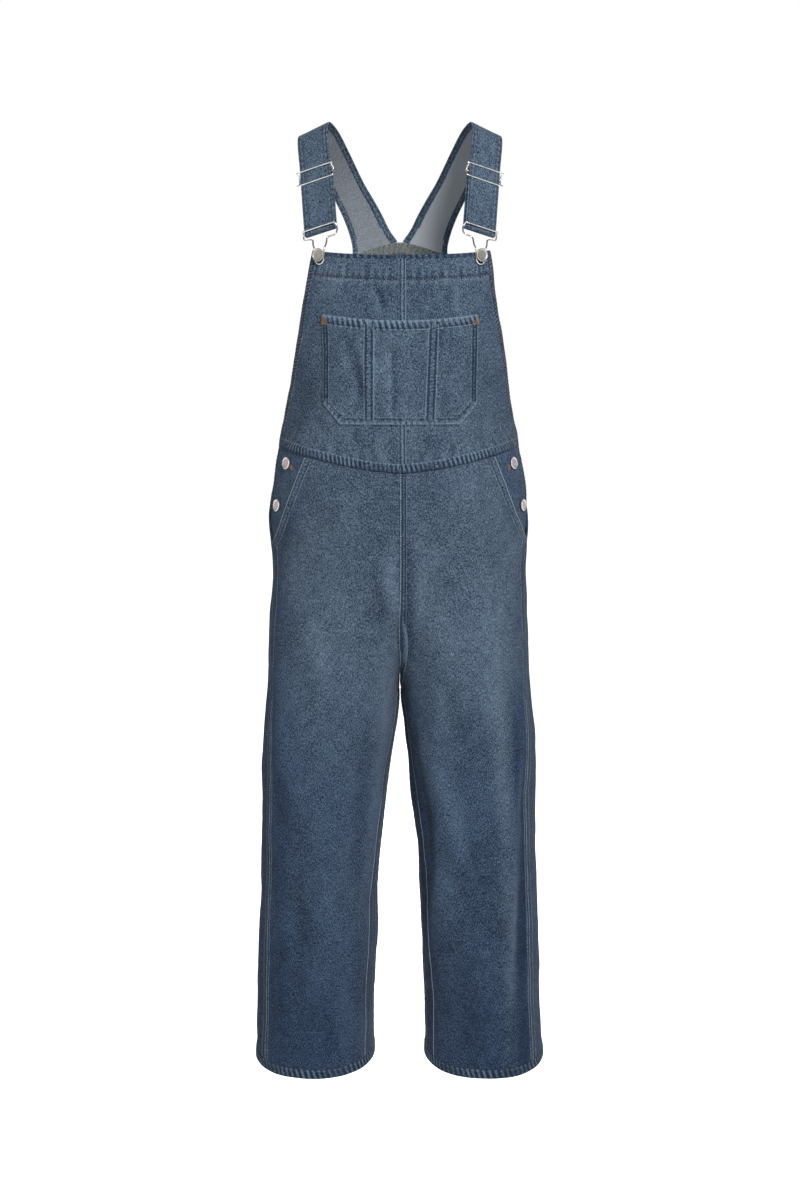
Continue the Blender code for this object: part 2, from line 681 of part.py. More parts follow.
def bib_normal(x, drop):
    """Outward direction of the bib's face."""
    along_x = bib_surface(x + 0.001, drop) - bib_surface(x - 0.001, drop)
    along_z = bib_surface(x, drop + 0.001) - bib_surface(x, drop - 0.001)
    normal = along_x.cross(along_z).normalized()
    return normal if normal.y < 0 else -normal


def add_hook(front, nickel):
    """The wire clip: a bar over the strap, sides that run down and in, and a loop round the button."""
    side = front.side
    roller = front.place(0.0, front.length, -fold_radius())
    x, drop = side * BIB_BUTTON[0], BIB_BUTTON[1]
    out = bib_normal(x, drop)
    flat = Vector((0, 0, 1)).cross(out).normalized()
    if flat.dot(front.across) < 0:
        flat.negate()
    meet = bib_surface(x, drop) + out * WIRE_OFF_BIB + Vector((0, 0, WIRE_ABOVE))
    lift = fold_radius() + STRAP_PLY / 2 + HOOK_OFF_STRAP + WIRE_RADIUS

    def place(across, along, below, rise):
        sideways = front.across.lerp(flat, min(max(along, 0.0), 1.0)).normalized()
        point = roller + (meet - roller) * along + sideways * (across / 1000)
        return point + front.out * (rise * lift) - Vector((0, 0, below / 1000))

    half = [place(*row) for row in WIRE]
    other = [place(-across, along, below, rise) for across, along, below, rise in WIRE]
    bottom = []
    for turn in spread(0.0, math.pi, 6)[1:-1]:
        bottom.append(place(WIRE_END_RADIUS * math.cos(turn), 1.0,
                            WIRE[-1][2] + WIRE_END_RADIUS * math.sin(turn), 0.0))
    label = hand(side)
    add_tube("hook_" + label, half + bottom + other[::-1], WIRE_RADIUS, WIRE_SIDES, nickel, front.out,
             closed=True)
    reach = 0.0262 - WIRE_RADIUS - 2 * GAP
    ends = [front.place(-reach, front.length, -fold_radius()),
            front.place(reach, front.length, -fold_radius())]
    add_tube("hook_bar_" + label, ends, BAR_RADIUS, 8, nickel, front.down, closed=False)


def add_bib_button(side, nickel):
    x, drop = side * BIB_BUTTON[0], BIB_BUTTON[1]
    out = bib_normal(x, drop)
    add_button("bib_button_" + hand(side), bib_surface(x, drop) + out * GAP, out, BIB_BUTTON_RADIUS,
               BIB_BUTTON_NECK, nickel)


def add_side_buttons(side, nickel):
    for label, (distance, drop) in SIDE_BUTTONS.items():
        angle = edge_angle(distance, trunk.read(hand(side), drop))
        fade = 1 - smooth((drop - WAIST_SIDE) / WAIST_FADE)
        nominal = drop - (waist_drop(1, angle) - WAIST_SIDE) * fade
        point = hip_point(side, angle, nominal)
        out = normal_at(lambda u, v: hip_point(side, u, v), angle, nominal, 0.01, 0.001)
        if out.dot(from_axis(point)) < 0:
            out.negate()
        lift = facing_lift(side, angle, nominal)
        add_button("side_button_" + label + "_" + hand(side), point + out * (lift + GAP), out,
                   SIDE_BUTTON_RADIUS, SIDE_BUTTON_NECK, nickel)


def clear_scene():
    for old in list(bpy.data.objects):
        bpy.data.objects.remove(old, do_unlink=True)


def main():
    clear_scene()
    denim = material("denim", (0.075, 0.115, 0.175), 0.9)
    nickel = material("nickel", (0.62, 0.61, 0.58), 0.3, 1.0)
    add_legs(denim)
    add_hips(denim)
    add_bibs(denim)
    add_bib_pocket(denim)
    for side in (-1, 1):
        front = Front(side)
        add_strap(front, denim)
        add_slider(front, nickel)
        add_hook(front, nickel)
        add_bib_button(side, nickel)
        add_side_buttons(side, nickel)


main()
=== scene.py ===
"""The looks of a pair of denim dungarees, worn with no wearer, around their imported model.

Metres, +Z up, front towards -Y.  A drop is a distance below the origin, which lies between the straps at
the top of the shoulders.  A side is -1 or +1 and follows the sign of X, a face is +1 at the front and -1
at the back.  A skin is the outer face of one cut piece, read at any place (u, v) of its own grid.
"""

import math

import bmesh
import bpy
import numpy as np
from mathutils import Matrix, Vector


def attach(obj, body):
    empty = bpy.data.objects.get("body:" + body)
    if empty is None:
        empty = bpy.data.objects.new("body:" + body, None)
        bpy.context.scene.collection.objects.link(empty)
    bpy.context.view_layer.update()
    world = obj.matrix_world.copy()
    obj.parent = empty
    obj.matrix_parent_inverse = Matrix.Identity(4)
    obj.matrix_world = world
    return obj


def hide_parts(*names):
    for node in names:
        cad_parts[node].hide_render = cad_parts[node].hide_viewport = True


bl_info = {
    "name": "Denim Dungarees",
    "version": (1, 0, 0),
    "blender": (4, 5, 0),
    "location": "3D View > Sidebar > Dungarees",
    "description": "Cloth, seams, stitches and metal of a pair of denim dungarees",
    "category": "Mesh",
}

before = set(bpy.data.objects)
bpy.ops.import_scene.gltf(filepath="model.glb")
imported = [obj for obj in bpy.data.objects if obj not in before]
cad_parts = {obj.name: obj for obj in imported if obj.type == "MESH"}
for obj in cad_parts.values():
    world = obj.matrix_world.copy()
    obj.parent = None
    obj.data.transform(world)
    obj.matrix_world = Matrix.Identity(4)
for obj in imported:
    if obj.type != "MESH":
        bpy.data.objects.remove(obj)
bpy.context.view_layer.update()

# ---------------------------------------------------------------- sizes that the model is built on
CLOTH = 0.0015
STRAP_PLY = 0.0024
GAP = 0.0003
WAIST_GAP = 0.0005
LAP_GAP = 0.0011
SQUARE = 2.2
SIDE_INSET = 0.0016
WAIST_SIDE = 0.4400
WAIST_FRONT_SAG = 0.0335
WAIST_BACK_RISE = 0.0140
WAIST_FADE = 0.1200
FORK_TOP = 0.6000
CROTCH = 0.7870
GATHER = 0.75
HEM_SIDE = 1.3445
HEM_DIP = 0.0075
HEM_DIP_REACH = 0.1
BIB_TOP = 0.1800
BIB_TOP_RISE = 0.0083
BACK_TOP = 0.1470
BACK_TOP_FALL = 0.0135
BACK_TOP_REACH = 0.072 / 0.050
SLIT_TOP = (0.1317, 0.4530)
SLIT_BOTTOM = (0.1820, 0.5780)
FACING_UNDERLAP = 0.100
FACING_SINK = (0.500, 0.555)
PLACKET = (0.4450, 0.5350)
PLACKET_ANGLES = (-0.070, 0.160)
POCKET_SEAM = ((-0.0415, -0.0425), (0.0460, 0.0405))
POCKET_TOP = 0.2585
POCKET_SAG = 0.0090
POCKET_BASE = 0.4060
POCKET_CHAMFER = (0.0230, 0.0280)
POCKET_HALF = 0.1045
STRAP_HALF = 0.0240
STRAP_STRAIGHT = 0.0120
SLIDER = (0.1165, -0.0410, -0.0660)
HOOK_BAR = (0.1100, -0.0730, -0.1425)
BAR_RADIUS = 0.0015
WIRE_RADIUS = 0.0011
SLIDER_REACH = 0.0097
BIB_BUTTON = (0.1080, 0.1785)
BIB_BUTTON_RADIUS = 0.0095
SIDE_BUTTON_RADIUS = 0.0085
SIDE_BUTTONS = {"upper": (0.1585, 0.4620), "lower": (0.1732, 0.5220)}
SLIDER_HALF = 0.0270
HOOK_HALF = 0.0262
FRONT_SLOPE = 16.0
FRONT_SWEEP = 24.0
WIRE_END_RADIUS = 6.4
HOOK_OFF_STRAP = 0.0025
WIRE_ABOVE = 0.009
WIRE_OFF_BIB = 0.0028
BIB_BUTTON_NECK = 0.0044
SIDE_BUTTON_NECK = 0.0014


class Table:
    """Rows of sizes with named columns, read smoothly at any values of the first column."""

    def __init__(self, columns, rows):
        self.names = columns.split()
        self.rows = np.array(rows)
        self.key = self.rows[:, 0]
        self.slope = np.gradient(self.rows, self.key, axis=0)

    def read(self, name, where):
        column = self.names.index(name)
        row = np.clip(np.searchsorted(self.key, where) - 1, 0, len(self.key) - 2)
        step = self.key[row + 1] - self.key[row]
        t = np.clip((where - self.key[row]) / step, 0.0, 1.0)
        low, high = self.rows[row, column], self.rows[row + 1, column]
        rise_low, rise_high = self.slope[row, column] * step, self.slope[row + 1, column] * step
        return (low * (1 + 2 * t) * (1 - t) ** 2 + high * t * t * (3 - 2 * t)
                + rise_low * t * (1 - t) ** 2 - rise_high * t * t * (1 - t))


TRUNK = Table("drop left right front back", (
    (0.140, 0.1600, 0.1620, 0.1180, 0.1180),
    (0.172, 0.1610, 0.1630, 0.1200, 0.1165),
    (0.240, 0.1640, 0.1650, 0.1230, 0.1120),
    (0.300, 0.1670, 0.1670, 0.1235, 0.1080),
    (0.360, 0.1690, 0.1680, 0.1235, 0.1050),
    (0.400, 0.1715, 0.1685, 0.1230, 0.1040),
    (0.440, 0.1725, 0.1690, 0.1225, 0.1050),
    (0.461, 0.1770, 0.1740, 0.1225, 0.1080),
    (0.490, 0.1810, 0.1800, 0.1225, 0.1130),
    (0.519, 0.1860, 0.1830, 0.1225, 0.1190),
    (0.547, 0.1890, 0.1850, 0.1225, 0.1250),
    (0.576, 0.1865, 0.1830, 0.1220, 0.1290),
    (0.605, 0.1850, 0.1820, 0.1210, 0.1310),
    (0.664, 0.1860, 0.1840, 0.1200, 0.1300),
    (0.723, 0.1910, 0.1855, 0.1190, 0.1270),
    (0.790, 0.1940, 0.1910, 0.1180, 0.1220),
))
LEG = Table("drop inner_left outer_left inner_right outer_right front back", (
    (0.580, 0.0000, 0.1870, 0.0000, 0.1830, 0.1190, 0.1290),
    (0.700, 0.0000, 0.1890, 0.0000, 0.1850, 0.1190, 0.1270),
    (0.790, 0.0010, 0.1940, 0.0010, 0.1910, 0.1180, 0.1210),
    (0.841, 0.0040, 0.1985, 0.0055, 0.1960, 0.1170, 0.1170),
    (0.901, 0.0140, 0.2015, 0.0120, 0.1990, 0.1150, 0.1120),
    (0.962, 0.0210, 0.2030, 0.0180, 0.1995, 0.1120, 0.1080),
    (1.022, 0.0280, 0.2045, 0.0250, 0.2005, 0.1090, 0.1040),
    (1.084, 0.0325, 0.2060, 0.0285, 0.2030, 0.1060, 0.1010),
    (1.176, 0.0340, 0.2100, 0.0325, 0.2060, 0.1020, 0.0990),
    (1.238, 0.0370, 0.2130, 0.0365, 0.2080, 0.0990, 0.0970),
    (1.301, 0.0390, 0.2150, 0.0365, 0.2120, 0.0960, 0.0950),
    (1.360, 0.0390, 0.2155, 0.0365, 0.2145, 0.0940, 0.0940),
))
SEAM = Table("drop side inseam", (
    (0.430, 6.0, 0.0),
    (0.500, 8.0, 0.0),
    (0.578, 12.0, 0.0),
    (0.620, 13.0, 0.0),
    (0.700, 16.0, 0.0),
    (0.800, 24.0, 2.0),
    (0.870, 28.0, 8.0),
    (1.000, 29.0, 12.0),
    (1.360, 31.0, 13.0),
))
BIB = Table("drop left right", (
    (0.165, 0.1175, 0.1210),
    (0.172, 0.1190, 0.1230),
    (0.238, 0.1320, 0.1320),
    (0.292, 0.1410, 0.1410),
    (0.347, 0.1530, 0.1510),
    (0.403, 0.1650, 0.1610),
    (0.432, 0.1710, 0.1675),
    (0.480, 0.1765, 0.1735),
))
BACK_BIB = Table("drop half", (
    (0.140, 0.070),
    (0.168, 0.072),
    (0.220, 0.083),
    (0.280, 0.098),
    (0.340, 0.118),
    (0.380, 0.136),
    (0.410, 0.153),
    (0.440, 0.167),
))
# A strap's middle, from the back bib to the slider.  Columns: x, y, z, half width, slope, sweep.
STRAP = (
    (0.0370, 0.1155, -0.1553, 0.0350, 17.0, -7.0),
    (0.0432, 0.1165, -0.1400, 0.0300, 24.0, -4.0),
    (0.0509, 0.1139, -0.1197, 0.0277, 27.0, -3.0),
    (0.0617, 0.1064, -0.0973, 0.0258, 29.0, -2.0),
    (0.0738, 0.0953, -0.0754, 0.0245, 29.0, 0.0),
    (0.0842, 0.0805, -0.0542, 0.0240, 28.0, 3.0),
    (0.0945, 0.0606, -0.0340, 0.0240, 27.0, 6.0),
    (0.1050, 0.0355, -0.0148, 0.0240, 25.0, 9.0),
    (0.1125, 0.0180, -0.0045, 0.0240, 24.0, 12.0),
    (0.1193, 0.0000, 0.0000, 0.0240, 23.3, 14.0),
    (0.1212, -0.0130, -0.0060, 0.0240, 21.0, 18.0),
    (0.1207, -0.0240, -0.0220, 0.0240, 19.0, 22.0),
    (0.1186, -0.0316, -0.0430, 0.0240, 17.0, 24.0),
)
# Half of a hook's wire.  Columns: across in millimetres, along, below in millimetres, lift.
WIRE = (
    (20.0, -0.06, 0.0, 1.00),
    (25.0, -0.05, 0.0, 0.75),
    (26.4, 0.06, 0.0, 0.20),
    (26.3, 0.24, 0.0, 0.00),
    (23.5, 0.39, 0.0, 0.00),
    (15.0, 0.43, 0.0, 0.00),
    (11.6, 0.50, 0.0, 0.00),
    (11.0, 0.62, 0.0, 0.00),
    (10.2, 0.82, 0.0, 0.00),
    (8.2, 1.00, 0.0, 0.00),
    (7.2, 1.00, 8.0, 0.00),
    (6.6, 1.00, 14.6, 0.00),
)

# ---------------------------------------------------------------- creases, laid one by one
# Each crease: face, height in millimetres (a trough is below 0), widths in millimetres to the viewer's
# left and right of its line, and the line itself from top to bottom as (x, drop) in metres.
TROUSER_CREASES = (
    (1, 2.2, 10, 16, ((-0.1768, 0.700), (-0.1725, 0.790), (-0.1690, 0.940))),
    (1, -2.2, 12, 14, ((-0.0519, 0.830), (-0.0580, 0.950), (-0.0690, 1.110))),
    (1, 2.4, 16, 12, ((-0.0236, 0.673), (-0.0280, 0.800), (-0.0400, 0.933), (-0.0450, 1.130))),
    (1, 5.2, 9, 26, ((0.0200, 0.800), (0.0394, 0.885), (0.0560, 0.966), (0.0567, 1.040), (0.0530, 1.090),
                     (0.0420, 1.180))),
    (1, 3.4, 15, 8, ((0.1690, 0.800), (0.1640, 0.933), (0.1600, 1.113), (0.1530, 1.280))),
    (1, -2.0, 12, 14, ((0.1790, 0.860), (0.1760, 1.020), (0.1730, 1.230))),
    (1, -1.5, 8, 12, ((0.0560, 0.760), (0.0686, 0.807), (0.0820, 0.850))),
    (1, 1.4, 9, 14, ((0.0421, 0.850), (0.0700, 0.960), (0.0994, 1.090))),
    (1, -1.2, 7, 9, ((0.0860, 1.149), (0.1140, 1.138), (0.1420, 1.133))),
    (1, 1.1, 6, 8, ((0.0928, 1.172), (0.1130, 1.163), (0.1334, 1.158))),
    (1, -2.6, 9, 12, ((0.0010, 0.520), (0.0000, 0.580), (0.0020, 0.680), (0.0040, 0.760))),
    (1, 1.6, 12, 14, ((-0.0300, 0.560), (-0.0240, 0.620), (-0.0120, 0.700))),
    (1, 1.6, 14, 12, ((0.0320, 0.560), (0.0260, 0.630), (0.0140, 0.710))),
    (1, -1.4, 14, 18, ((-0.1250, 0.640), (-0.0950, 0.720), (-0.0800, 0.820))),
    (1, 1.5, 22, 26, ((-0.1200, 0.900), (-0.1150, 1.050), (-0.1180, 1.240))),
    (1, -1.3, 14, 12, ((-0.1500, 1.020), (-0.1450, 1.150), (-0.1480, 1.280))),
    (1, 1.2, 20, 20, ((0.1150, 0.640), (0.1180, 0.760), (0.1080, 0.880))),
    (1, -1.5, 18, 18, ((0.0900, 1.200), (0.0980, 1.260), (0.0960, 1.330))),
    (1, 1.3, 12, 15, ((-0.0850, 1.180), (-0.0900, 1.250), (-0.0840, 1.330))),
    (-1, -3.0, 16, 22, ((-0.0850, 0.690), (-0.0500, 0.740), (-0.0200, 0.785))),
    (-1, -2.6, 16, 20, ((0.0900, 0.700), (0.0520, 0.745), (0.0220, 0.785))),
    (-1, 2.4, 16, 22, ((-0.0600, 0.840), (-0.0700, 0.960), (-0.0820, 1.120))),
    (-1, -2.2, 14, 18, ((-0.1300, 0.860), (-0.1240, 1.000), (-0.1300, 1.180))),
    (-1, 2.6, 20, 16, ((0.0620, 0.830), (0.0740, 0.950), (0.0880, 1.130))),
    (-1, -2.0, 16, 16, ((0.1320, 0.880), (0.1260, 1.040), (0.1320, 1.240))),
    (-1, -1.5, 10, 12, ((-0.0900, 1.080), (-0.1150, 1.072), (-0.1420, 1.076))),
    (-1, 1.3, 9, 10, ((0.0820, 1.105), (0.1080, 1.096), (0.1300, 1.099))),
    (-1, 1.6, 20, 20, ((-0.0900, 1.170), (-0.0960, 1.260), (-0.0900, 1.335))),
    (-1, 1.5, 18, 20, ((0.0980, 1.180), (0.1030, 1.260), (0.0990, 1.335))),
)
BIB_CREASES = (
    (1, -1.7, 5, 7, ((-0.0385, 0.216), (-0.0290, 0.237), (-0.0200, 0.262))),
    (1, -1.5, 7, 9, ((-0.0790, 0.285), (-0.0680, 0.320), (-0.0572, 0.350), (-0.0546, 0.395))),
    (1, 1.3, 7, 8, ((-0.0600, 0.280), (-0.0480, 0.330), (-0.0470, 0.392))),
    (1, -1.3, 5, 6, ((-0.0120, 0.285), (-0.0105, 0.340), (-0.0096, 0.408))),
    (1, -1.2, 6, 7, ((0.0540, 0.345), (0.0550, 0.385), (0.0575, 0.428))),
    (1, 1.2, 8, 8, ((0.0680, 0.215), (0.0700, 0.240), (0.0660, 0.262))),
    (1, -1.3, 8, 8, ((-0.0700, 0.405), (-0.0640, 0.425), (-0.0590, 0.448))),
    (1, 1.2, 9, 7, ((-0.0300, 0.415), (-0.0330, 0.436), (-0.0300, 0.458))),
    (1, -1.2, 7, 9, ((0.0300, 0.415), (0.0340, 0.436), (0.0310, 0.458))),
    (1, -1.8, 18, 20, ((-0.1420, 0.330), (-0.1450, 0.380), (-0.1550, 0.432))),
    (1, -1.8, 20, 18, ((0.1380, 0.330), (0.1420, 0.385), (0.1500, 0.432))),
    (-1, -1.8, 12, 14, ((-0.0300, 0.210), (-0.0450, 0.280), (-0.0520, 0.360))),
    (-1, -1.8, 14, 12, ((0.0320, 0.215), (0.0440, 0.290), (0.0500, 0.365))),
    (-1, 1.5, 16, 18, ((-0.0800, 0.300), (-0.0950, 0.360), (-0.1180, 0.420))),
    (-1, 1.5, 18, 16, ((0.0820, 0.300), (0.0960, 0.360), (0.1160, 0.420))),
)
CREASE_FADE = 0.30        # the share of a crease's length over which each of its ends dies out
CREASE_DEPTH = 1.6        # what every crease's height is multiplied by
# Slow unevenness of hanging cloth.  Columns: height in millimetres, waves a metre along x, y and z, phase.
UNEVENNESS = (
    (0.55, 5.0, 3.0, 4.1, 0.4),
    (0.45, -7.5, 4.0, 6.3, 2.1),
    (0.35, 11.0, -6.0, 8.0, 4.4),
    (0.22, -17.0, 9.0, 13.5, 1.3),
    (0.16, 23.0, 15.0, -19.0, 5.2),
    (0.10, 37.0, -22.0, 29.0, 3.3),
)


# ---------------------------------------------------------------- shape of the garment
def hand(side):
    return "left" if side < 0 else "right"


def smooth(t):
    t = np.clip(t, 0.0, 1.0)
    return t * t * (3 - 2 * t)


def bump(t, width):
    """A soft bell of height 1 over t = 0."""
    return np.exp(-(t / width) ** 2)


def rounded(value):
    """The superellipse's rounding of a sine or a cosine."""
    return np.sign(value) * np.abs(value) ** (2 / SQUARE)


def waist_fade(drop):
    """How far the sag of the waist reaches down the cloth: 1 at the waist, 0 below it."""
    return 1 - smooth((drop - WAIST_SIDE) / WAIST_FADE)


def depth_of(table, towards_front, drop):
    return np.where(towards_front > 0, table.read("front", drop), table.read("back", drop))


def trunk_point(side, angle, drop):
    width = TRUNK.read(hand(side), drop)
    x = GAP / 2 + (width - GAP / 2) * rounded(np.cos(angle))
    return x, -depth_of(TRUNK, angle, drop) * rounded(np.sin(angle))


def leg_point(side, angle, drop):
    inner = np.maximum(LEG.read("inner_" + hand(side), drop), GAP / 2)
    outer = LEG.read("outer_" + hand(side), drop)
    middle, half = (inner + outer) / 2, (outer - inner) / 2
    x = middle + half * rounded(np.cos(angle))
    return x, -depth_of(LEG, np.sin(angle), drop) * rounded(np.sin(angle))


def edge_angle(distance, width):
    return np.arccos(np.clip(distance / width, 0.0, 1.0) ** (SQUARE / 2))


def side_angle(drop):
    return np.radians(SEAM.read("side", drop))


def slit_angle(side, drop):
    real = drop + (SLIT_TOP[1] - WAIST_SIDE) * waist_fade(drop)
    run = (real - SLIT_TOP[1]) / (SLIT_BOTTOM[1] - SLIT_TOP[1])
    distance = SLIT_TOP[0] + (SLIT_BOTTOM[0] - SLIT_TOP[0]) * run
    return edge_angle(distance, TRUNK.read(hand(side), real))


def waist_drop(face, angle):
    inward = np.where(face * angle > 0, 1 - rounded(np.abs(np.cos(angle))) ** 1.5, 0.0)
    return WAIST_SIDE + (WAIST_FRONT_SAG if face > 0 else -WAIST_BACK_RISE) * inward


def stack(side, x, y, drop):
    return np.stack(np.broadcast_arrays(side * x, y, -drop), axis=-1)


def trousers_point(side, face, across, drop, start):
    """A trouser panel: across is 0 at its outer edge and 1 at centre or at the inner leg."""
    inseam = np.radians(SEAM.read("inseam", drop))
    edge = SIDE_INSET * face
    first = start + edge
    opened = np.clip((drop - FORK_TOP) / (CROTCH - FORK_TOP), 0.0, 1.0)
    gathered = 1 - (1 - across) * np.abs(1 - across)
    trunk_across = across + (gathered - across) * GATHER * smooth(opened * 1.7)
    trunk_angle = first + trunk_across * (face * math.pi / 2 - first)
    leg_end = math.pi - inseam if face > 0 else -math.pi - inseam
    leg_angle = first + across * (leg_end - edge - first)
    weight = np.clip(across, 0.0, 1.0) ** 3
    share = (1 - weight) * smooth(opened) + weight * opened ** 3.5
    near_hem = np.maximum(0.0, (drop - HEM_SIDE) / HEM_DIP_REACH + 1)
    real = drop + (waist_drop(face, trunk_angle) - WAIST_SIDE) * waist_fade(drop)
    real = real + HEM_DIP * np.abs(np.sin(leg_angle)) * near_hem
    trunk_x, trunk_y = trunk_point(side, trunk_angle, real)
    leg_x, leg_y = leg_point(side, leg_angle, real)
    return stack(side, trunk_x + (leg_x - trunk_x) * share, trunk_y + (leg_y - trunk_y) * share, real)


def front_leg_start(side, drop):
    start = side_angle(drop)
    return np.where(drop < SLIT_BOTTOM[1], np.maximum(start, slit_angle(side, drop)), start)


def hip_point(side, angle, drop):
    real = drop + (waist_drop(1, angle) - WAIST_SIDE) * waist_fade(drop)
    x, y = trunk_point(side, angle, real)
    return stack(side, x, y, real)


def above_waist(side, face, across, down, top, half):
    """A point of a bib: across is 0 at its side and 1 at centre, down is 0 at its top and 1 at the waist."""
    drop = top
    for _ in range(3):
        edge = edge_angle(half(drop), TRUNK.read(hand(side), drop))
        angle = face * (edge + across * (math.pi / 2 - edge))
        drop = top + down * (waist_drop(face, angle) - WAIST_GAP - top)
    x, y = trunk_point(side, angle, drop)
    return stack(side, x, y, drop)


def bib_point(side, across, down):
    top = BIB_TOP - BIB_TOP_RISE * (1 - across) ** 2
    return above_waist(side, 1, across, down, top, lambda drop: BIB.read(hand(side), drop))


def back_bib_point(side, across, down):
    top = BACK_TOP + BACK_TOP_FALL * (np.maximum(1 - across, 0.0) * BACK_TOP_REACH) ** 1.3
    return above_waist(side, -1, across, down, top, lambda drop: BACK_BIB.read("half", drop))


def bib_surface(x, drop):
    """A point of the bib's face at a given x."""
    width = np.where(x < 0, TRUNK.read("left", drop), TRUNK.read("right", drop))
    depth = TRUNK.read("front", drop)
    y = -depth * (1 - (np.abs(x) / width) ** SQUARE) ** (1 / SQUARE)
    return np.stack(np.broadcast_arrays(x, y, -drop), axis=-1)


def pocket_limits(x):
    top = POCKET_TOP + POCKET_SAG * (1 - (x / POCKET_HALF) ** 2)
    cut = np.maximum(0.0, np.abs(x) - (POCKET_HALF - POCKET_CHAMFER[0])) / POCKET_CHAMFER[0]
    return top, POCKET_BASE - POCKET_CHAMFER[1] * cut


def crease_height(places, creases):
    """Height of the laid creases over places, in metres."""
    x, y, drop = places[..., 0], places[..., 1], -places[..., 2]
    front_share = smooth(0.5 - y / 0.05)
    total = np.zeros(x.shape)
    for face, height, width_left, width_right, line in creases:
        line = np.array(line)
        lengths = np.hypot(*np.diff(line, axis=0).T)
        before = np.concatenate(([0.0], np.cumsum(lengths)))
        nearest = np.full(x.shape, np.inf)
        run = np.zeros(x.shape)
        offset = np.zeros(x.shape)
        for index, (start, end) in enumerate(zip(line[:-1], line[1:])):
            step = (end - start) / lengths[index]
            along = (x - start[0]) * step[0] + (drop - start[1]) * step[1]
            kept = np.clip(along, 0.0, lengths[index])
            gap_x, gap_y = x - start[0] - step[0] * kept, drop - start[1] - step[1] * kept
            gap = np.hypot(gap_x, gap_y)
            closer = gap < nearest
            nearest = np.where(closer, gap, nearest)
            run = np.where(closer, before[index] + kept, run)
            offset = np.where(closer, gap_x * step[1] - gap_y * step[0], offset)
        run = run / before[-1]
        ends = smooth(run / CREASE_FADE) * smooth((1 - run) / CREASE_FADE)
        width = np.where(offset > 0, width_right, width_left) / 1000
        face_share = front_share if face > 0 else 1 - front_share
        total = total + CREASE_DEPTH * height / 1000 * np.exp(-(nearest / width) ** 2) * ends * face_share
    return total


def unevenness(places):
    total = 0.0
    for height, along_x, along_y, along_z, phase in UNEVENNESS:
        turns = places @ np.array((along_x, along_y, along_z))
        total = total + height / 1000 * np.sin(2 * math.pi * turns + phase)
    return total


class Skin:
    """The outer face of one cut piece, with its creases."""

    def __init__(self, shape, creases, steps, sample, centre=0.0, lift=None, side=0, calm=None):
        self.shape, self.creases, self.steps = shape, creases, steps
        self.lift, self.side, self.calm = lift, side, calm
        self.sign = 1.0
        self.nearest = GAP / 2
        u, v = np.meshgrid(*sample)
        places, normals = self.base(u, v)
        outward = places - np.array((centre, 0.0, 0.0))
        outward[..., 2] = 0.0
        if np.sum(outward * normals) < 0:
            self.sign = -1.0

    def base(self, u, v):
        step_u, step_v = self.steps
        along_u = self.shape(u + step_u, v) - self.shape(u - step_u, v)
        along_v = self.shape(u, v + step_v) - self.shape(u, v - step_v)
        normals = np.cross(along_u, along_v)
        normals /= np.maximum(np.linalg.norm(normals, axis=-1, keepdims=True), 1e-12)
        return self.shape(u, v), normals * self.sign

    def folds(self, u, v, places):
        height = crease_height(places, self.creases) + unevenness(places)
        if self.calm:
            height = height * self.calm(u, v)
        return height

    def place(self, u, v, height=0.0):
        """Points of the skin at grid places, raised by a height off the cloth."""
        u, v, height = np.broadcast_arrays(u, v, height)
        places, normals = self.base(u, v)
        raised = self.folds(u, v, places) + height
        if self.lift:
            raised = raised + self.lift(u, v)
        points = places + normals * raised[..., None]
        if self.side:
            points[..., 0] = self.side * np.maximum(self.side * points[..., 0], self.nearest)
        return points

    def offset(self, u, v, away):
        """Grid places that lie at distances away, in metres across a line (u, v), to its left-hand side."""
        places, normals = self.base(u, v)
        step_u, step_v = self.steps
        along_u = (self.shape(u + step_u, v) - self.shape(u - step_u, v)) / (2 * step_u)
        along_v = (self.shape(u, v + step_v) - self.shape(u, v - step_v)) / (2 * step_v)
        tangent = np.gradient(places, axis=0)
        tangent /= np.maximum(np.linalg.norm(tangent, axis=-1, keepdims=True), 1e-12)
        across = np.cross(normals, tangent)
        uu, vv = np.sum(along_u ** 2, -1), np.sum(along_v ** 2, -1)
        uv = np.sum(along_u * along_v, -1)
        au, av = np.sum(across * along_u, -1), np.sum(across * along_v, -1)
        det = np.maximum(uu * vv - uv ** 2, 1e-12)
        rate_u, rate_v = (au * vv - av * uv) / det, (av * uu - au * uv) / det
        return u[:, None] + rate_u[:, None] * away, v[:, None] + rate_v[:, None] * away


# ---------------------------------------------------------------- the skins of every cut piece
LEG_CENTRE = 0.11
SEWN_CALM = 0.15          # the share of its creases that cloth keeps where it is sewn down


def trouser_skin(side, face):
    start = (lambda drop: front_leg_start(side, drop)) if face > 0 else side_angle
    return Skin(lambda u, v: trousers_point(side, face, u, v, start(v)), TROUSER_CREASES, (0.002, 0.001),
                (np.linspace(0.1, 0.9, 5), np.linspace(1.0, 1.3, 4)), centre=side * LEG_CENTRE, side=side,
                calm=lambda u, v: SEWN_CALM + (1 - SEWN_CALM) * smooth((v - WAIST_SIDE - 0.01) / 0.05))


def facing_lift(side, angle, drop):
    start = side_angle(drop)
    reach = np.maximum(slit_angle(side, drop) - start, 0.01)
    low = smooth((drop - FACING_SINK[0]) / (FACING_SINK[1] - FACING_SINK[0]))
    return -(CLOTH + LAP_GAP) * np.maximum(low, np.clip((angle - start) / reach, 0.0, 1.0))


HIP_SAMPLE = (np.linspace(0.1, 0.9, 4), np.linspace(0.46, 0.54, 4))


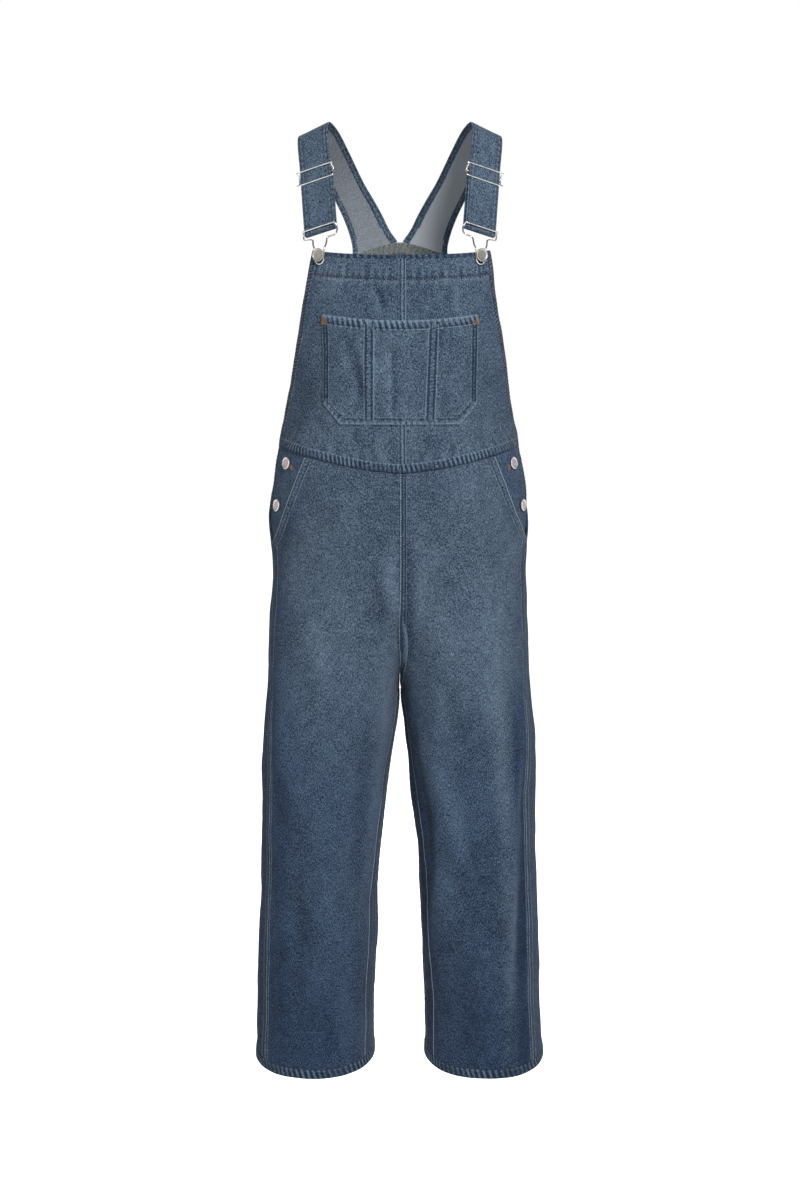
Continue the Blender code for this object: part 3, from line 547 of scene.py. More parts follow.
def facing_skin(side):
    def angle_at(u, drop):
        start = side_angle(drop) + SIDE_INSET
        slit = np.maximum(slit_angle(side, drop), start + 0.01)
        return start + np.minimum(u, 1.0) * (slit - start) + np.maximum(u - 1.0, 0.0) * FACING_UNDERLAP

    return Skin(lambda u, v: hip_point(side, angle_at(u, v), v), (), (0.002, 0.001), HIP_SAMPLE,
                lift=lambda u, v: facing_lift(side, angle_at(u, v), v), calm=lambda u, v: SEWN_CALM)


def stand_skin(side):
    def angle_at(u, drop):
        low, high = PLACKET_ANGLES
        return side_angle(drop) + low + (high - low) * u

    return Skin(lambda u, v: hip_point(side, angle_at(u, v), v), (), (0.002, 0.001), HIP_SAMPLE,
                lift=lambda u, v: facing_lift(side, angle_at(u, v), v) - CLOTH - LAP_GAP,
                calm=lambda u, v: SEWN_CALM)


def ends_calm(u, v):
    return SEWN_CALM + (1 - SEWN_CALM) * smooth((1 - v) / 0.15)


BIB_SAMPLE = (np.linspace(0.1, 0.9, 4), np.linspace(0.1, 0.9, 4))


def bib_skin(side):
    return Skin(lambda u, v: bib_point(side, u, v), BIB_CREASES, (0.002, 0.003), BIB_SAMPLE, calm=ends_calm)


def back_bib_skin(side):
    return Skin(lambda u, v: back_bib_point(side, u, v), BIB_CREASES, (0.002, 0.003), BIB_SAMPLE,
                calm=ends_calm)


def pocket_skin(label):
    (left_top, left_low), (right_top, right_low) = POCKET_SEAM
    inner_corner = POCKET_HALF - POCKET_CHAMFER[0]
    stations = {
        "left": ((-POCKET_HALF, -POCKET_HALF), (-inner_corner, -inner_corner),
                 (left_top - GAP / 2, left_low - GAP / 2)),
        "centre": ((left_top + GAP / 2, left_low + GAP / 2), (0.0, 0.0),
                   (right_top - GAP / 2, right_low - GAP / 2)),
        "right": ((right_top + GAP / 2, right_low + GAP / 2), (inner_corner, inner_corner),
                  (POCKET_HALF, POCKET_HALF)),
    }[label]
    tops, lows = np.array(stations).T

    def shape(u, v):
        index = np.clip(u, 0.0, 1.999).astype(int)
        part = u - index
        x = (tops[index] * (1 - part) + tops[index + 1] * part) * (1 - v)
        x = x + (lows[index] * (1 - part) + lows[index + 1] * part) * v
        top, base = pocket_limits(x)
        return bib_surface(x, top + (base - top) * v)

    return Skin(shape, BIB_CREASES, (0.002, 0.01), (np.linspace(0.2, 1.8, 4), np.linspace(0.1, 0.9, 4)),
                lift=lambda u, v: CLOTH + LAP_GAP / 2)


# ---------------------------------------------------------------- meshes
def clustered(first, last, count, share=0.55):
    """Count steps from first to last, closer together towards both ends."""
    t = np.linspace(0.0, 1.0, count + 1)
    return first + (last - first) * (t - share * np.sin(2 * math.pi * t) / (2 * math.pi))


def grid_lengths(points):
    """Distance across from the middle column, and the drop, for the weave."""
    steps = np.linalg.norm(np.diff(points, axis=1), axis=-1)
    across = np.concatenate((np.zeros((len(points), 1)), np.cumsum(steps, axis=1)), axis=1)
    across -= across[:, across.shape[1] // 2][:, None]
    return np.stack((across, -points[..., 2]), axis=-1)


def make_mesh(name, points, faces, finishes, slots=None, weave=None, values=None, creased=None):
    """A mesh at its place, with its weave coordinates and its shading values."""
    mesh = bpy.data.meshes.new(name)
    mesh.from_pydata(points.tolist(), [], faces)
    for finish in finishes:
        mesh.materials.append(finish)
    if slots is not None:
        mesh.polygons.foreach_set("material_index", np.asarray(slots, np.int32))
    if weave is not None:
        layer = mesh.uv_layers.new(name="Weave")
        corners = np.zeros(len(mesh.loops), np.int32)
        mesh.loops.foreach_get("vertex_index", corners)
        layer.data.foreach_set("uv", weave[corners].astype(np.float32).ravel())
    for label, numbers in (values or {}).items():
        attribute = mesh.attributes.new(label, "FLOAT", "POINT")
        attribute.data.foreach_set("value", np.asarray(numbers, np.float32).ravel())
    mesh.shade_smooth()
    if creased:
        mesh.set_sharp_from_angle(angle=math.radians(creased))
    made = bpy.data.objects.new(name, mesh)
    bpy.context.scene.collection.objects.link(made)
    return made


def wall_faces(rows, columns, flip):
    """Faces of a closed wall between two grids: outer, inner and rim."""
    count = rows * columns
    grid = np.arange(count).reshape(rows, columns)
    a, b, c, d = grid[:-1, :-1], grid[:-1, 1:], grid[1:, 1:], grid[1:, :-1]
    outer = np.stack((a, b, c, d), axis=-1).reshape(-1, 4)
    inner = np.stack((a, d, c, b), axis=-1).reshape(-1, 4) + count
    rim = np.concatenate((grid[0, :], grid[1:, -1], grid[-1, -2::-1], grid[-2:0:-1, 0]))
    there = np.roll(rim, -1)
    edge = np.stack((there, rim, rim + count, there + count), axis=-1)
    faces = np.concatenate((outer, inner, edge))
    if flip:
        faces = faces[:, ::-1]
    return faces.tolist(), len(outer), len(inner), len(edge)


INSIDE_SHARE = 0.3        # the share of the right side's light and dark that the wrong side shows


def add_wall(name, outer, inner, finishes, light, inside_light=None, tone=0.0, inner_slots=None):
    """A closed wall of cloth between two grids of points, its right side out."""
    rows, columns = outer.shape[:2]
    points = np.concatenate((outer.reshape(-1, 3), inner.reshape(-1, 3)))
    row, column = rows // 2, columns // 2
    a, b, d = outer[row, column], outer[row, column + 1], outer[row + 1, column]
    flip = float(np.dot(np.cross(b - a, d - a), a - inner[row, column])) < 0
    faces, outer_count, inner_count, edge_count = wall_faces(rows, columns, flip)
    inside = np.ones(inner_count) if inner_slots is None else np.asarray(inner_slots).ravel()
    slots = np.concatenate((np.zeros(outer_count), inside, np.zeros(edge_count)))
    weave = np.tile(grid_lengths(outer).reshape(-1, 2), (2, 1))
    light = np.broadcast_to(light, (rows, columns)).ravel()
    if inside_light is None:
        inside_light = light * INSIDE_SHARE
    else:
        inside_light = np.broadcast_to(inside_light, (rows, columns)).ravel()
    tone = np.tile(np.broadcast_to(tone, (rows, columns)).ravel(), 2)
    return make_mesh(name, points, faces, finishes, slots, weave,
                     {"light": np.concatenate((light, inside_light)), "tone": tone}, creased=50)


BAND_CONTRAST = 1.6


def ripple(along, pitch, wander=0.0):
    """Even waves of a pitch, from -1 to 1, put out of step by a wander."""
    return np.sin(2 * math.pi * along / pitch + wander)


def add_band(name, skin, u, v, section, finish, relief=None, light=None, tone=0.0, inside=None):
    """A folded band of cloth along a line of a skin.

    A section is a closed outline of (away, height) in metres: away from the line on the cloth, and off the
    cloth.  relief(along, away) raises it, and light(along, away) shades it.
    """
    away, height = np.array(section).T
    grid_u, grid_v = skin.offset(u, v, away)
    line = skin.place(u, v)
    along = np.concatenate(([0.0], np.cumsum(np.linalg.norm(np.diff(line, axis=0), axis=-1))))
    along_grid, away_grid = np.meshgrid(along, away, indexing="ij")
    heights = np.broadcast_to(height, grid_u.shape)
    if relief:
        shown = (height > 0.0002) * 1.0 - (height < -CLOTH - 0.0002)
        heights = heights + relief(along_grid, away_grid) * shown
    points = skin.place(grid_u, grid_v, heights)
    count, around = grid_u.shape
    ring = np.arange(around)
    step = np.arange(count - 1)[:, None] * around
    after = (ring + 1) % around
    faces = np.stack((step + ring, step + after, step + around + after, step + around + ring), -1)
    faces = faces.reshape(-1, 4).tolist()
    faces.append(list(range(around - 1, -1, -1)))
    faces.append(list(range((count - 1) * around, count * around)))
    flat = points.reshape(-1, 3)
    middle = points.mean(axis=1)[count // 2]
    first, second, third = points[count // 2, 1], points[count // 2, 2], points[count // 2 + 1, 1]
    if float(np.dot(np.cross(second - first, third - first), first - middle)) < 0:
        faces = [face[::-1] for face in faces]
    shade = light(along_grid, away_grid) * BAND_CONTRAST if light else np.zeros(grid_u.shape)
    buried = height + np.roll(height, -1) < -CLOTH
    slots = np.concatenate((np.tile(buried, count - 1), (False, False))).astype(int) if inside else None
    weave = np.stack((along_grid, away_grid + 0.3 * height), axis=-1).reshape(-1, 2)
    tones = np.broadcast_to(tone, grid_u.shape)
    finishes = [finish, inside] if inside else [finish]
    return make_mesh(name, flat, faces, finishes, slots, weave, {"light": shade, "tone": tones}, creased=60)


def join(name, objects):
    """One piece made of several closed bodies."""
    with bpy.context.temp_override(active_object=objects[0], selected_editable_objects=objects):
        bpy.ops.object.join()
    objects[0].name = name
    objects[0].data.name = name
    return objects[0]


def rope(along, away, pitch, slant, seed):
    """The uneven slanted ridges of a shrunken seam, from -1 to 1."""
    wander = 0.9 * np.sin(along * 41 + seed) + 0.6 * np.sin(along * 97 + 2.3 * seed)
    strength = 0.7 + 0.3 * np.sin(along * 63 + 1.7 * seed)
    return ripple(along + slant * away, pitch, wander) * strength


# ---------------------------------------------------------------- materials
class Value:
    """A number on its way through a material's nodes."""

    def __init__(self, maker, socket):
        self.maker, self.socket = maker, socket

    def maths(self, operation, first, second):
        return self.maker.node("ShaderNodeMath", {"operation": operation}, {0: first, 1: second})

    def __add__(self, other):
        return self.maths("ADD", self, other)

    def __sub__(self, other):
        return self.maths("SUBTRACT", self, other)

    def __rsub__(self, other):
        return self.maths("SUBTRACT", other, self)

    def __mul__(self, other):
        return self.maths("MULTIPLY", self, other)

    __radd__ = __add__
    __rmul__ = __mul__


class Finish:
    """A material, and the one method that adds its nodes."""

    def __init__(self, name):
        self.material = bpy.data.materials.new(name)
        self.material.use_nodes = True
        self.tree = self.material.node_tree
        self.shader = self.tree.nodes["Principled BSDF"]

    def node(self, kind, settings=None, inputs=None, output=0):
        made = self.tree.nodes.new(kind)
        for key, value in (settings or {}).items():
            setattr(made, key, value)
        for key, value in (inputs or {}).items():
            self.feed(made.inputs[key], value)
        return Value(self, made.outputs[output])

    def feed(self, socket, value):
        if isinstance(value, Value):
            self.tree.links.new(value.socket, socket)
        else:
            socket.default_value = value

    def clamp(self, value):
        return self.node("ShaderNodeClamp", None, {0: value})

    def attribute(self, name):
        return self.node("ShaderNodeAttribute", {"attribute_name": name}, output=2)

    def scaled(self, place, scale):
        return self.node("ShaderNodeVectorMath", {"operation": "MULTIPLY"}, {0: place, 1: scale})

    def noise(self, place, scale, detail=2.0, roughness=0.5):
        return self.node("ShaderNodeTexNoise", None,
                         {"Vector": self.scaled(place, scale), "Scale": 1.0, "Detail": detail,
                          "Roughness": roughness})

    def mix(self, factor, first, second):
        return self.node("ShaderNodeMix", {"data_type": "RGBA"}, {0: factor, 6: first, 7: second}, output=2)

    def done(self, colour, roughness, height, distance, constants):
        self.feed(self.shader.inputs["Base Color"], colour)
        self.feed(self.shader.inputs["Roughness"], roughness)
        bumped = self.node("ShaderNodeBump", None, {"Height": height, "Distance": distance, "Strength": 1.0})
        self.feed(self.shader.inputs["Normal"], bumped)
        for key, value in constants.items():
            self.shader.inputs[key].default_value = value
        return self.material


def denim(name, deep, pale, far_tint, contrast, level):
    """Washed twill: slubs along the warp, a twill line, mottling, and light ridges by the seams, worn and
    painted.

    The attribute light holds worn fading and painted light and shade: it lightens ridges and darkens hollows,
    paints highlights on folded edges and shade in stitch grooves and under raised edges.  Tone turns the
    cloth darker and bluer, for less faded cloth and for painted shade.
    """
    finish = Finish(name)
    weave = finish.node("ShaderNodeUVMap", {"uv_map": "Weave"})
    place = finish.node("ShaderNodeTexCoord", output=3)
    light, tone = finish.attribute("light"), finish.attribute("tone")
    twill_place = finish.node("ShaderNodeVectorMath", {"operation": "DOT_PRODUCT"},
                              {0: weave, 1: (5200.0, 3900.0, 0.0)}, output=1)
    twill = finish.node("ShaderNodeMath", {"operation": "SINE"}, {0: twill_place})
    slub = finish.noise(weave, (1250.0, 300.0, 1.0), 1.0, 0.6)
    weft = finish.noise(weave, (420.0, 1100.0, 1.0), 1.0, 0.5)
    speck = finish.noise(place, (900.0, 900.0, 800.0), 1.0, 0.5)
    mottle = finish.noise(place, (95.0, 95.0, 60.0), 3.0, 0.62)
    cloud = finish.noise(place, (17.0, 17.0, 11.0), 3.0, 0.55)
    wash = (slub - 0.5) * 1.5 + (weft - 0.5) * 0.9 + (speck - 0.5) * 1.5 + (mottle - 0.5) * 0.34
    wash = wash + (cloud - 0.5) * 0.30 + twill * 0.035
    amount = finish.clamp(wash * contrast + light + level)
    colour = finish.mix(amount, (*deep, 1.0), (*pale, 1.0))
    tinted = finish.node("ShaderNodeMix", {"data_type": "RGBA", "blend_type": "MULTIPLY"},
                         {0: finish.clamp(tone), 6: colour, 7: (*far_tint, 1.0)}, output=2)
    height = twill * 0.25 + slub * 0.9 + speck * 0.5 + mottle * 0.5
    roughness = 0.92 - amount * 0.1
    return finish.done(tinted, roughness, height, 0.00035,
                       {"Sheen Weight": 0.05, "Sheen Roughness": 0.5, "Specular IOR Level": 0.15})


def thread(name, colour, dark):
    finish = Finish(name)
    place = finish.node("ShaderNodeTexCoord", output=3)
    fibre = finish.noise(place, (900.0, 900.0, 900.0), 1.0)
    shade = finish.noise(place, (60.0, 60.0, 60.0), 2.0)
    amount = finish.clamp((fibre - 0.5) * 1.2 + (shade - 0.5) * 1.4 + 0.5)
    return finish.done(finish.mix(amount, (*dark, 1.0), (*colour, 1.0)), 0.75 - fibre * 0.1, fibre, 0.0001,
                       {"Specular IOR Level": 0.3})


def nickel(name, colour, worn, roughness):
    finish = Finish(name)
    place = finish.node("ShaderNodeTexCoord", output=3)
    brushed = finish.noise(place, (420.0, 420.0, 420.0), 3.0)
    stain = finish.noise(place, (130.0, 130.0, 130.0), 2.0)
    amount = finish.clamp((stain - 0.45) * 2.2)
    return finish.done(finish.mix(amount, (*colour, 1.0), (*worn, 1.0)), brushed * 0.18 + roughness, brushed,
                       0.00004, {"Metallic": 1.0})


def plain_white(name):
    finish = Finish(name)
    finish.shader.inputs["Base Color"].default_value = (0.9, 0.9, 0.9, 1.0)
    finish.shader.inputs["Emission Color"].default_value = (1.0, 1.0, 1.0, 1.0)
    finish.shader.inputs["Emission Strength"].default_value = 1.0
    return finish.material


FINISHES = {}


def finish_of(name):
    """The garment's materials, each made once from the colours in the panel."""
    if name not in FINISHES:
        colours = bpy.context.scene.dungarees_colours
        washed = (colours.denim_deep, colours.denim_pale, colours.denim_tint)
        wrong = (colours.wrong_deep, colours.wrong_pale, colours.denim_tint)
        makers = {
            "denim": lambda: denim("washed_denim", *washed, contrast=1.55, level=0.298),
            "wrong side": lambda: denim("denim_wrong_side", *wrong, contrast=0.7, level=0.5),
            "tonal": lambda: thread("tonal_thread", (0.15, 0.135, 0.115), (0.032, 0.036, 0.042)),
            # Not thread: pale lines along the seams' worn ridges, laid as painted highlights.
            "pale": lambda: thread("worn_ridge_highlight", (0.42, 0.50, 0.58), (0.24, 0.30, 0.38)),
            "beige": lambda: thread("beige_thread", (0.36, 0.25, 0.23), (0.14, 0.10, 0.11)),
            "ochre": lambda: thread("ochre_thread", (0.58, 0.31, 0.08), (0.30, 0.13, 0.04)),
            "olive": lambda: thread("olive_thread", (0.27, 0.19, 0.09), (0.10, 0.07, 0.04)),
            "yoke": lambda: denim("denim_yoke", colours.yoke_deep, colours.yoke_pale, colours.denim_tint,
                                  contrast=1.0, level=0.5),
            "wire": lambda: nickel("nickel_wire", colours.metal, (0.33, 0.33, 0.31), 0.20),
            "side button": lambda: nickel("nickel_side_button", (0.66, 0.60, 0.60), (0.52, 0.47, 0.47), 0.42),
            "button": lambda: nickel("nickel_button", colours.button, (0.29, 0.275, 0.245), 0.34),
        }
        FINISHES[name] = makers[name]()
    return FINISHES[name]


CLOTH_SIDES = ("denim", "wrong side")


def cloth_finishes():
    return [finish_of(name) for name in CLOTH_SIDES]


# ---------------------------------------------------------------- settings
class DungareesSizes(bpy.types.PropertyGroup):
    hem_fold: bpy.props.FloatProperty(name="Hem fold", description="Height of the folded hem",
                                      default=0.0130, unit="LENGTH")
    fell: bpy.props.FloatProperty(name="Fell", description="Width of a felled seam",
                                  default=0.0112, unit="LENGTH")
    rope_pitch: bpy.props.FloatProperty(name="Rope pitch", description="Spacing of the ridges along a hem",
                                        default=0.0080, unit="LENGTH")
    rope_height: bpy.props.FloatProperty(name="Rope height", description="Height of the ridges along a hem",
                                         default=0.00035, unit="LENGTH")
    stitch_pitch: bpy.props.FloatProperty(name="Stitch pitch", description="Spacing of the stitches",
                                          default=0.0034, unit="LENGTH")
    stitch_width: bpy.props.FloatProperty(name="Stitch width", description="Thickness of the thread",
                                          default=0.00062, unit="LENGTH")


class DungareesColours(bpy.types.PropertyGroup):
    denim_deep: bpy.props.FloatVectorProperty(name="Deep denim", description="Unfaded warp colour", size=3,
                                              default=(0.012, 0.028, 0.056), subtype="COLOR")
    denim_pale: bpy.props.FloatVectorProperty(name="Pale denim", description="Worn warp colour", size=3,
                                              default=(0.186, 0.257, 0.345), subtype="COLOR")
    # The tint that tone multiplies in stands for less faded cloth and for painted shade.
    denim_tint: bpy.props.FloatVectorProperty(name="Less faded tint", size=3,
                                              description="Colour of less faded places",
                                              default=(0.41, 0.52, 0.70), subtype="COLOR")
    wrong_deep: bpy.props.FloatVectorProperty(name="Deep wrong side", description="Dark of the wrong side",
                                              size=3, default=(0.130, 0.150, 0.170), subtype="COLOR")
    wrong_pale: bpy.props.FloatVectorProperty(name="Pale wrong side", description="Light of the wrong side",
                                              size=3, default=(0.430, 0.460, 0.500), subtype="COLOR")
    yoke_deep: bpy.props.FloatVectorProperty(name="Deep yoke", size=3,
                                             description="Dark of the back bib's inner band",
                                             default=(0.050, 0.060, 0.058), subtype="COLOR")
    yoke_pale: bpy.props.FloatVectorProperty(name="Pale yoke", size=3,
                                             description="Light of the back bib's inner band",
                                             default=(0.290, 0.310, 0.290), subtype="COLOR")
    metal: bpy.props.FloatVectorProperty(name="Wire", description="Nickel of the wire parts", size=3,
                                         default=(0.58, 0.58, 0.57), subtype="COLOR")
    button: bpy.props.FloatVectorProperty(name="Button", description="Matt nickel of the buttons", size=3,
                                          default=(0.40, 0.385, 0.345), subtype="COLOR")


def sizes():
    return bpy.context.scene.dungarees_sizes


# ---------------------------------------------------------------- stitches
def stitch_tree():
    """Geometry Nodes that lay a stitch at every pitch along the edges of a mesh."""
    tree = bpy.data.node_groups.new("stitches_along_lines", "GeometryNodeTree")
    tree.is_modifier = True
    face = tree.interface
    face.new_socket("Geometry", in_out="INPUT", socket_type="NodeSocketGeometry")
    for label in ("Pitch", "Length", "Width", "Height"):
        face.new_socket(label, in_out="INPUT", socket_type="NodeSocketFloat")
    face.new_socket("Thread", in_out="INPUT", socket_type="NodeSocketMaterial")
    face.new_socket("Geometry", in_out="OUTPUT", socket_type="NodeSocketGeometry")

    def node(kind, settings=None, links=None):
        made = tree.nodes.new(kind)
        for key, value in (settings or {}).items():
            setattr(made, key, value)
        for key, value in (links or {}).items():
            if isinstance(value, bpy.types.NodeSocket):
                tree.links.new(value, made.inputs[key])
            else:
                made.inputs[key].default_value = value
        return made.outputs

    given = node("NodeGroupInput")
    curve = node("GeometryNodeMeshToCurve", None, {"Mesh": given["Geometry"]})["Curve"]
    even = node("GeometryNodeResampleCurve", {"mode": "LENGTH"}, {"Curve": curve, "Length": given["Pitch"]})
    points = node("GeometryNodeCurveToPoints", {"mode": "EVALUATED"}, {"Curve": even["Curve"]})
    lain = node("FunctionNodeAlignRotationToVector", {"axis": "X"}, {"Vector": points["Tangent"]})
    outward = node("GeometryNodeInputNamedAttribute", {"data_type": "FLOAT_VECTOR"}, {"Name": "outward"})
    turned = node("FunctionNodeAlignRotationToVector", {"axis": "Z", "pivot_axis": "X"},
                  {"Rotation": lain["Rotation"], "Vector": outward["Attribute"]})
    bead = node("GeometryNodeMeshUVSphere", None, {"Segments": 6, "Rings": 3, "Radius": 0.5})["Mesh"]
    size = node("ShaderNodeCombineXYZ", None,
                {"X": given["Length"], "Y": given["Width"], "Z": given["Height"]})["Vector"]
    uneven = node("FunctionNodeRandomValue", {"data_type": "FLOAT"}, {"Min": 0.82, "Max": 1.08, "Seed": 7})
    scale = node("ShaderNodeVectorMath", {"operation": "SCALE"}, {0: size, "Scale": uneven[1]})["Vector"]
    laid = node("GeometryNodeInstanceOnPoints", None,
                {"Points": points["Points"], "Instance": bead, "Rotation": turned["Rotation"],
                 "Scale": scale})["Instances"]
    real = node("GeometryNodeRealizeInstances", None, {"Geometry": laid})["Geometry"]
    done = node("GeometryNodeSetMaterial", None, {"Geometry": real, "Material": given["Thread"]})["Geometry"]
    node("NodeGroupOutput", None, {"Geometry": done})
    return tree


def sew(name, lines, finish, pitch=None, width=None, length_share=0.74):
    """Stitches along lines.  A line is the points of its course and the outward directions at them."""
    lines = [line for line in lines if len(line[0]) > 1]
    mesh = bpy.data.meshes.new(name)
    points, edges, outwards = [], [], []
    for course, outward in lines:
        start = len(points)
        points += course.tolist()
        outwards.append(outward)
        edges += [(start + index, start + index + 1) for index in range(len(course) - 1)]
    mesh.from_pydata(points, edges, [])
    attribute = mesh.attributes.new("outward", "FLOAT_VECTOR", "POINT")
    attribute.data.foreach_set("vector", np.concatenate(outwards).astype(np.float32).ravel())
    guide = bpy.data.objects.new(name + "_lines", mesh)
    bpy.context.scene.collection.objects.link(guide)
    tree = bpy.data.node_groups.get("stitches_along_lines") or stitch_tree()
    modifier = guide.modifiers.new("stitches", "NODES")
    modifier.node_group = tree
    pitch = pitch or sizes().stitch_pitch
    width = width or sizes().stitch_width
    given = {"Pitch": pitch, "Length": pitch * length_share, "Width": width, "Height": width * 0.8,
             "Thread": finish}
    for item in tree.interface.items_tree:
        if item.in_out == "INPUT" and item.name in given:
            modifier[item.identifier] = given[item.name]
    bpy.context.view_layer.update()
    evaluated = guide.evaluated_get(bpy.context.evaluated_depsgraph_get())
    made_mesh = bpy.data.meshes.new_from_object(evaluated)
    made_mesh.name = name
    guide.modifiers.clear()
    bpy.data.objects.remove(guide)
    if not made_mesh.materials:
        made_mesh.materials.append(finish)
    made_mesh.shade_smooth()
    made = bpy.data.objects.new(name, made_mesh)
    bpy.context.scene.collection.objects.link(made)
    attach(made, "root")
    return made


def stitch_line(skin, u, v, away, height):
    """A course on a skin, at a distance from a line and a height off the cloth."""
    shifted_u, shifted_v = skin.offset(u, v, np.array([away]))
    shifted_u, shifted_v = shifted_u[:, 0], shifted_v[:, 0]
    course = skin.place(shifted_u, shifted_v, height)
    return course, skin.base(shifted_u, shifted_v)[1]


def left_of(skin, u, v, wanted, axis=0):
    """A line in the direction that puts one side of it at positive distances.

    The wanted side is the one where u grows (1) or falls (-1), or where v does for axis 1.
    """
    test = skin.offset(u[:2], v[:2], np.array([0.001]))[axis][0, 0] - (u, v)[axis][0]
    if test * wanted < 0:
        return u[::-1], v[::-1]
    return u, v


def bartack(place, along, outward, length, width):
    """A close row of stitches: short lines side by side, in space."""
    across = np.cross(outward, along)
    rows = np.linspace(-width / 2, width / 2, max(2, round(width / 0.0007)))
    reach = np.linspace(-length / 2, length / 2, 6)[:, None]
    return [(place + across * row + along * reach, np.tile(outward, (6, 1))) for row in rows]


# ---------------------------------------------------------------- cloth pieces
def finish_piece(piece, nodes, rests_on=()):
    """Tell the frame what a piece moves with and what it replaces."""
    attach(piece, "root")
    if nodes:
        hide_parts(*nodes)
    return piece


def panel(name, skin, us, vs, relief=None, light=0.0, tone=0.0, thick=CLOTH):
    """One cut piece as a wall on its skin, with painted light and shade on its creases."""
    u, v = np.meshgrid(us, vs)
    height = relief(u, v) if relief else 0.0
    outer = skin.place(u, v, height)
    inner = skin.place(u, v, np.broadcast_to(np.asarray(height) * 0.4, u.shape) - thick)
    places = skin.base(u, v)[0]
    folded = skin.folds(u, v, places)
    spacing = np.linalg.norm(np.gradient(places, axis=1), axis=-1)
    facing = np.sign(np.gradient(places[..., 0], axis=1))
    slope = np.gradient(folded, axis=1) / np.maximum(spacing, 1e-5) * facing
    # Painted light and shade: crease ridges lighter and hollows darker, and crease slopes lighter where they
    # face +x, as if lit from the viewer's right.
    shade = np.clip(folded / 0.004, -1.0, 1.0) * 0.10 - np.clip(slope, -0.4, 0.4) * 0.55 + light
    return add_wall(name, outer, inner, cloth_finishes(), shade, tone=tone)


GROOVE = 0.0013


def fell_section(width, rise, parts=(0.22, 0.80)):
    """A felled seam's band beside its line, with a groove along each of its stitch lines."""
    top = [(0.02 * width, rise * 0.5), (0.07 * width, rise)]
    for part in parts:
        for step, height in ((-1.9, 1.0), (-1.0, 1.0), (0.0, 0.6), (1.0, 1.0), (1.9, 1.0)):
            away = part * width + step * GROOVE
            if top[-1][0] + 0.0002 < away < 0.97 * width:
                top.append((away, rise * height))
    return [(0.0, -0.0003)] + top + [(0.98 * width, rise * 0.5), (width, -0.0003)]


def wrap_section(width, rise, thick=CLOTH):
    """A hem folded round the edge of the cloth; the edge lies at 0 and the cloth at positive away."""
    turn = thick / 2 + rise
    outer = [(width, -0.0003), (width, rise * 0.6), (width * 0.93, rise), (width * 0.82, rise * 0.75),
             (width * 0.66, rise), (width * 0.45, rise * 1.05), (width * 0.22, rise * 1.1), (0.0, rise * 1.1)]
    edge = [(-turn * 0.65 * math.sin(t), -thick / 2 + turn * math.cos(t))
            for t in np.linspace(0.0, math.pi, 7)[1:-1]]
    inner = [(away, -thick - height) for away, height in reversed(outer[1:])]
    return outer + edge + inner + [(width, -thick + 0.0003)]


def ruck(away, along, reach, pitch, seed):
    """Puckers that run out from a seam into the cloth beside it."""
    wander = 1.3 * np.sin(along * 53 + seed) + 0.8 * np.sin(along * 119)
    return ripple(along, pitch, wander) * bump(away, reach)


TROUSER_COUNTS = (62, 236)
LEG_CUT = 0.26            # a leg's width as cut, and the same at its hem
HEM_CUT = 0.28


def trouser_relief(side, face):
    """Puckers along the side seam, the centre seam and inner leg, the waist and the hem."""
    def relief(u, v):
        return (0.00035 * ruck(u * LEG_CUT, v, 0.012, 0.0130, 1.0 + side)
                + 0.00040 * ruck((1 - u) * LEG_CUT, v, 0.014, 0.0140, 2.0 + face)
                + 0.00045 * ruck(v - WAIST_SIDE, u * LEG_CUT, 0.016, 0.0150, 3.0 + side)
                + 0.00045 * ruck(HEM_SIDE - v, u * HEM_CUT, 0.020, 0.0160, 4.0 + side + face))
    return relief


def trouser_tone(u, v, side, face):
    """Darker and bluer: less faded cloth with painted shade towards the outer edge and the hem; painted shade
    in the fold at the inner leg, strong where side and face share a sign and slight where they differ; and
    where they share a sign, a painted shaded strip along the outer edge beside a lighter lit fold.
    """
    reach, most = (0.36, 0.92) if side * face < 0 else (0.22, 0.62)
    outer = most * smooth((reach - u) / reach) * smooth((v - 0.44) / 0.12)
    low = 0.60 * smooth((v - 0.68) / 0.30) + 0.28 * smooth((v - 1.05) / 0.28)
    fold = 0.60 * smooth((u - 0.80) / 0.07) * bump((v - 0.99) / 0.17, 1.0) * (side * face > 0)
    fold = fold + 0.12 * smooth((u - 0.80) / 0.10) * bump((v - 0.92) / 0.22, 1.0) * (side * face < 0)
    edge = 0.60 * smooth((0.23 - u) / 0.08) - 0.40 * bump((u - 0.275) / 0.06, 1.0)
    fold = fold + edge * smooth((v - 0.72) / 0.16) * (side * face > 0)
    return np.clip(outer + low + fold, 0.0, 1.0)


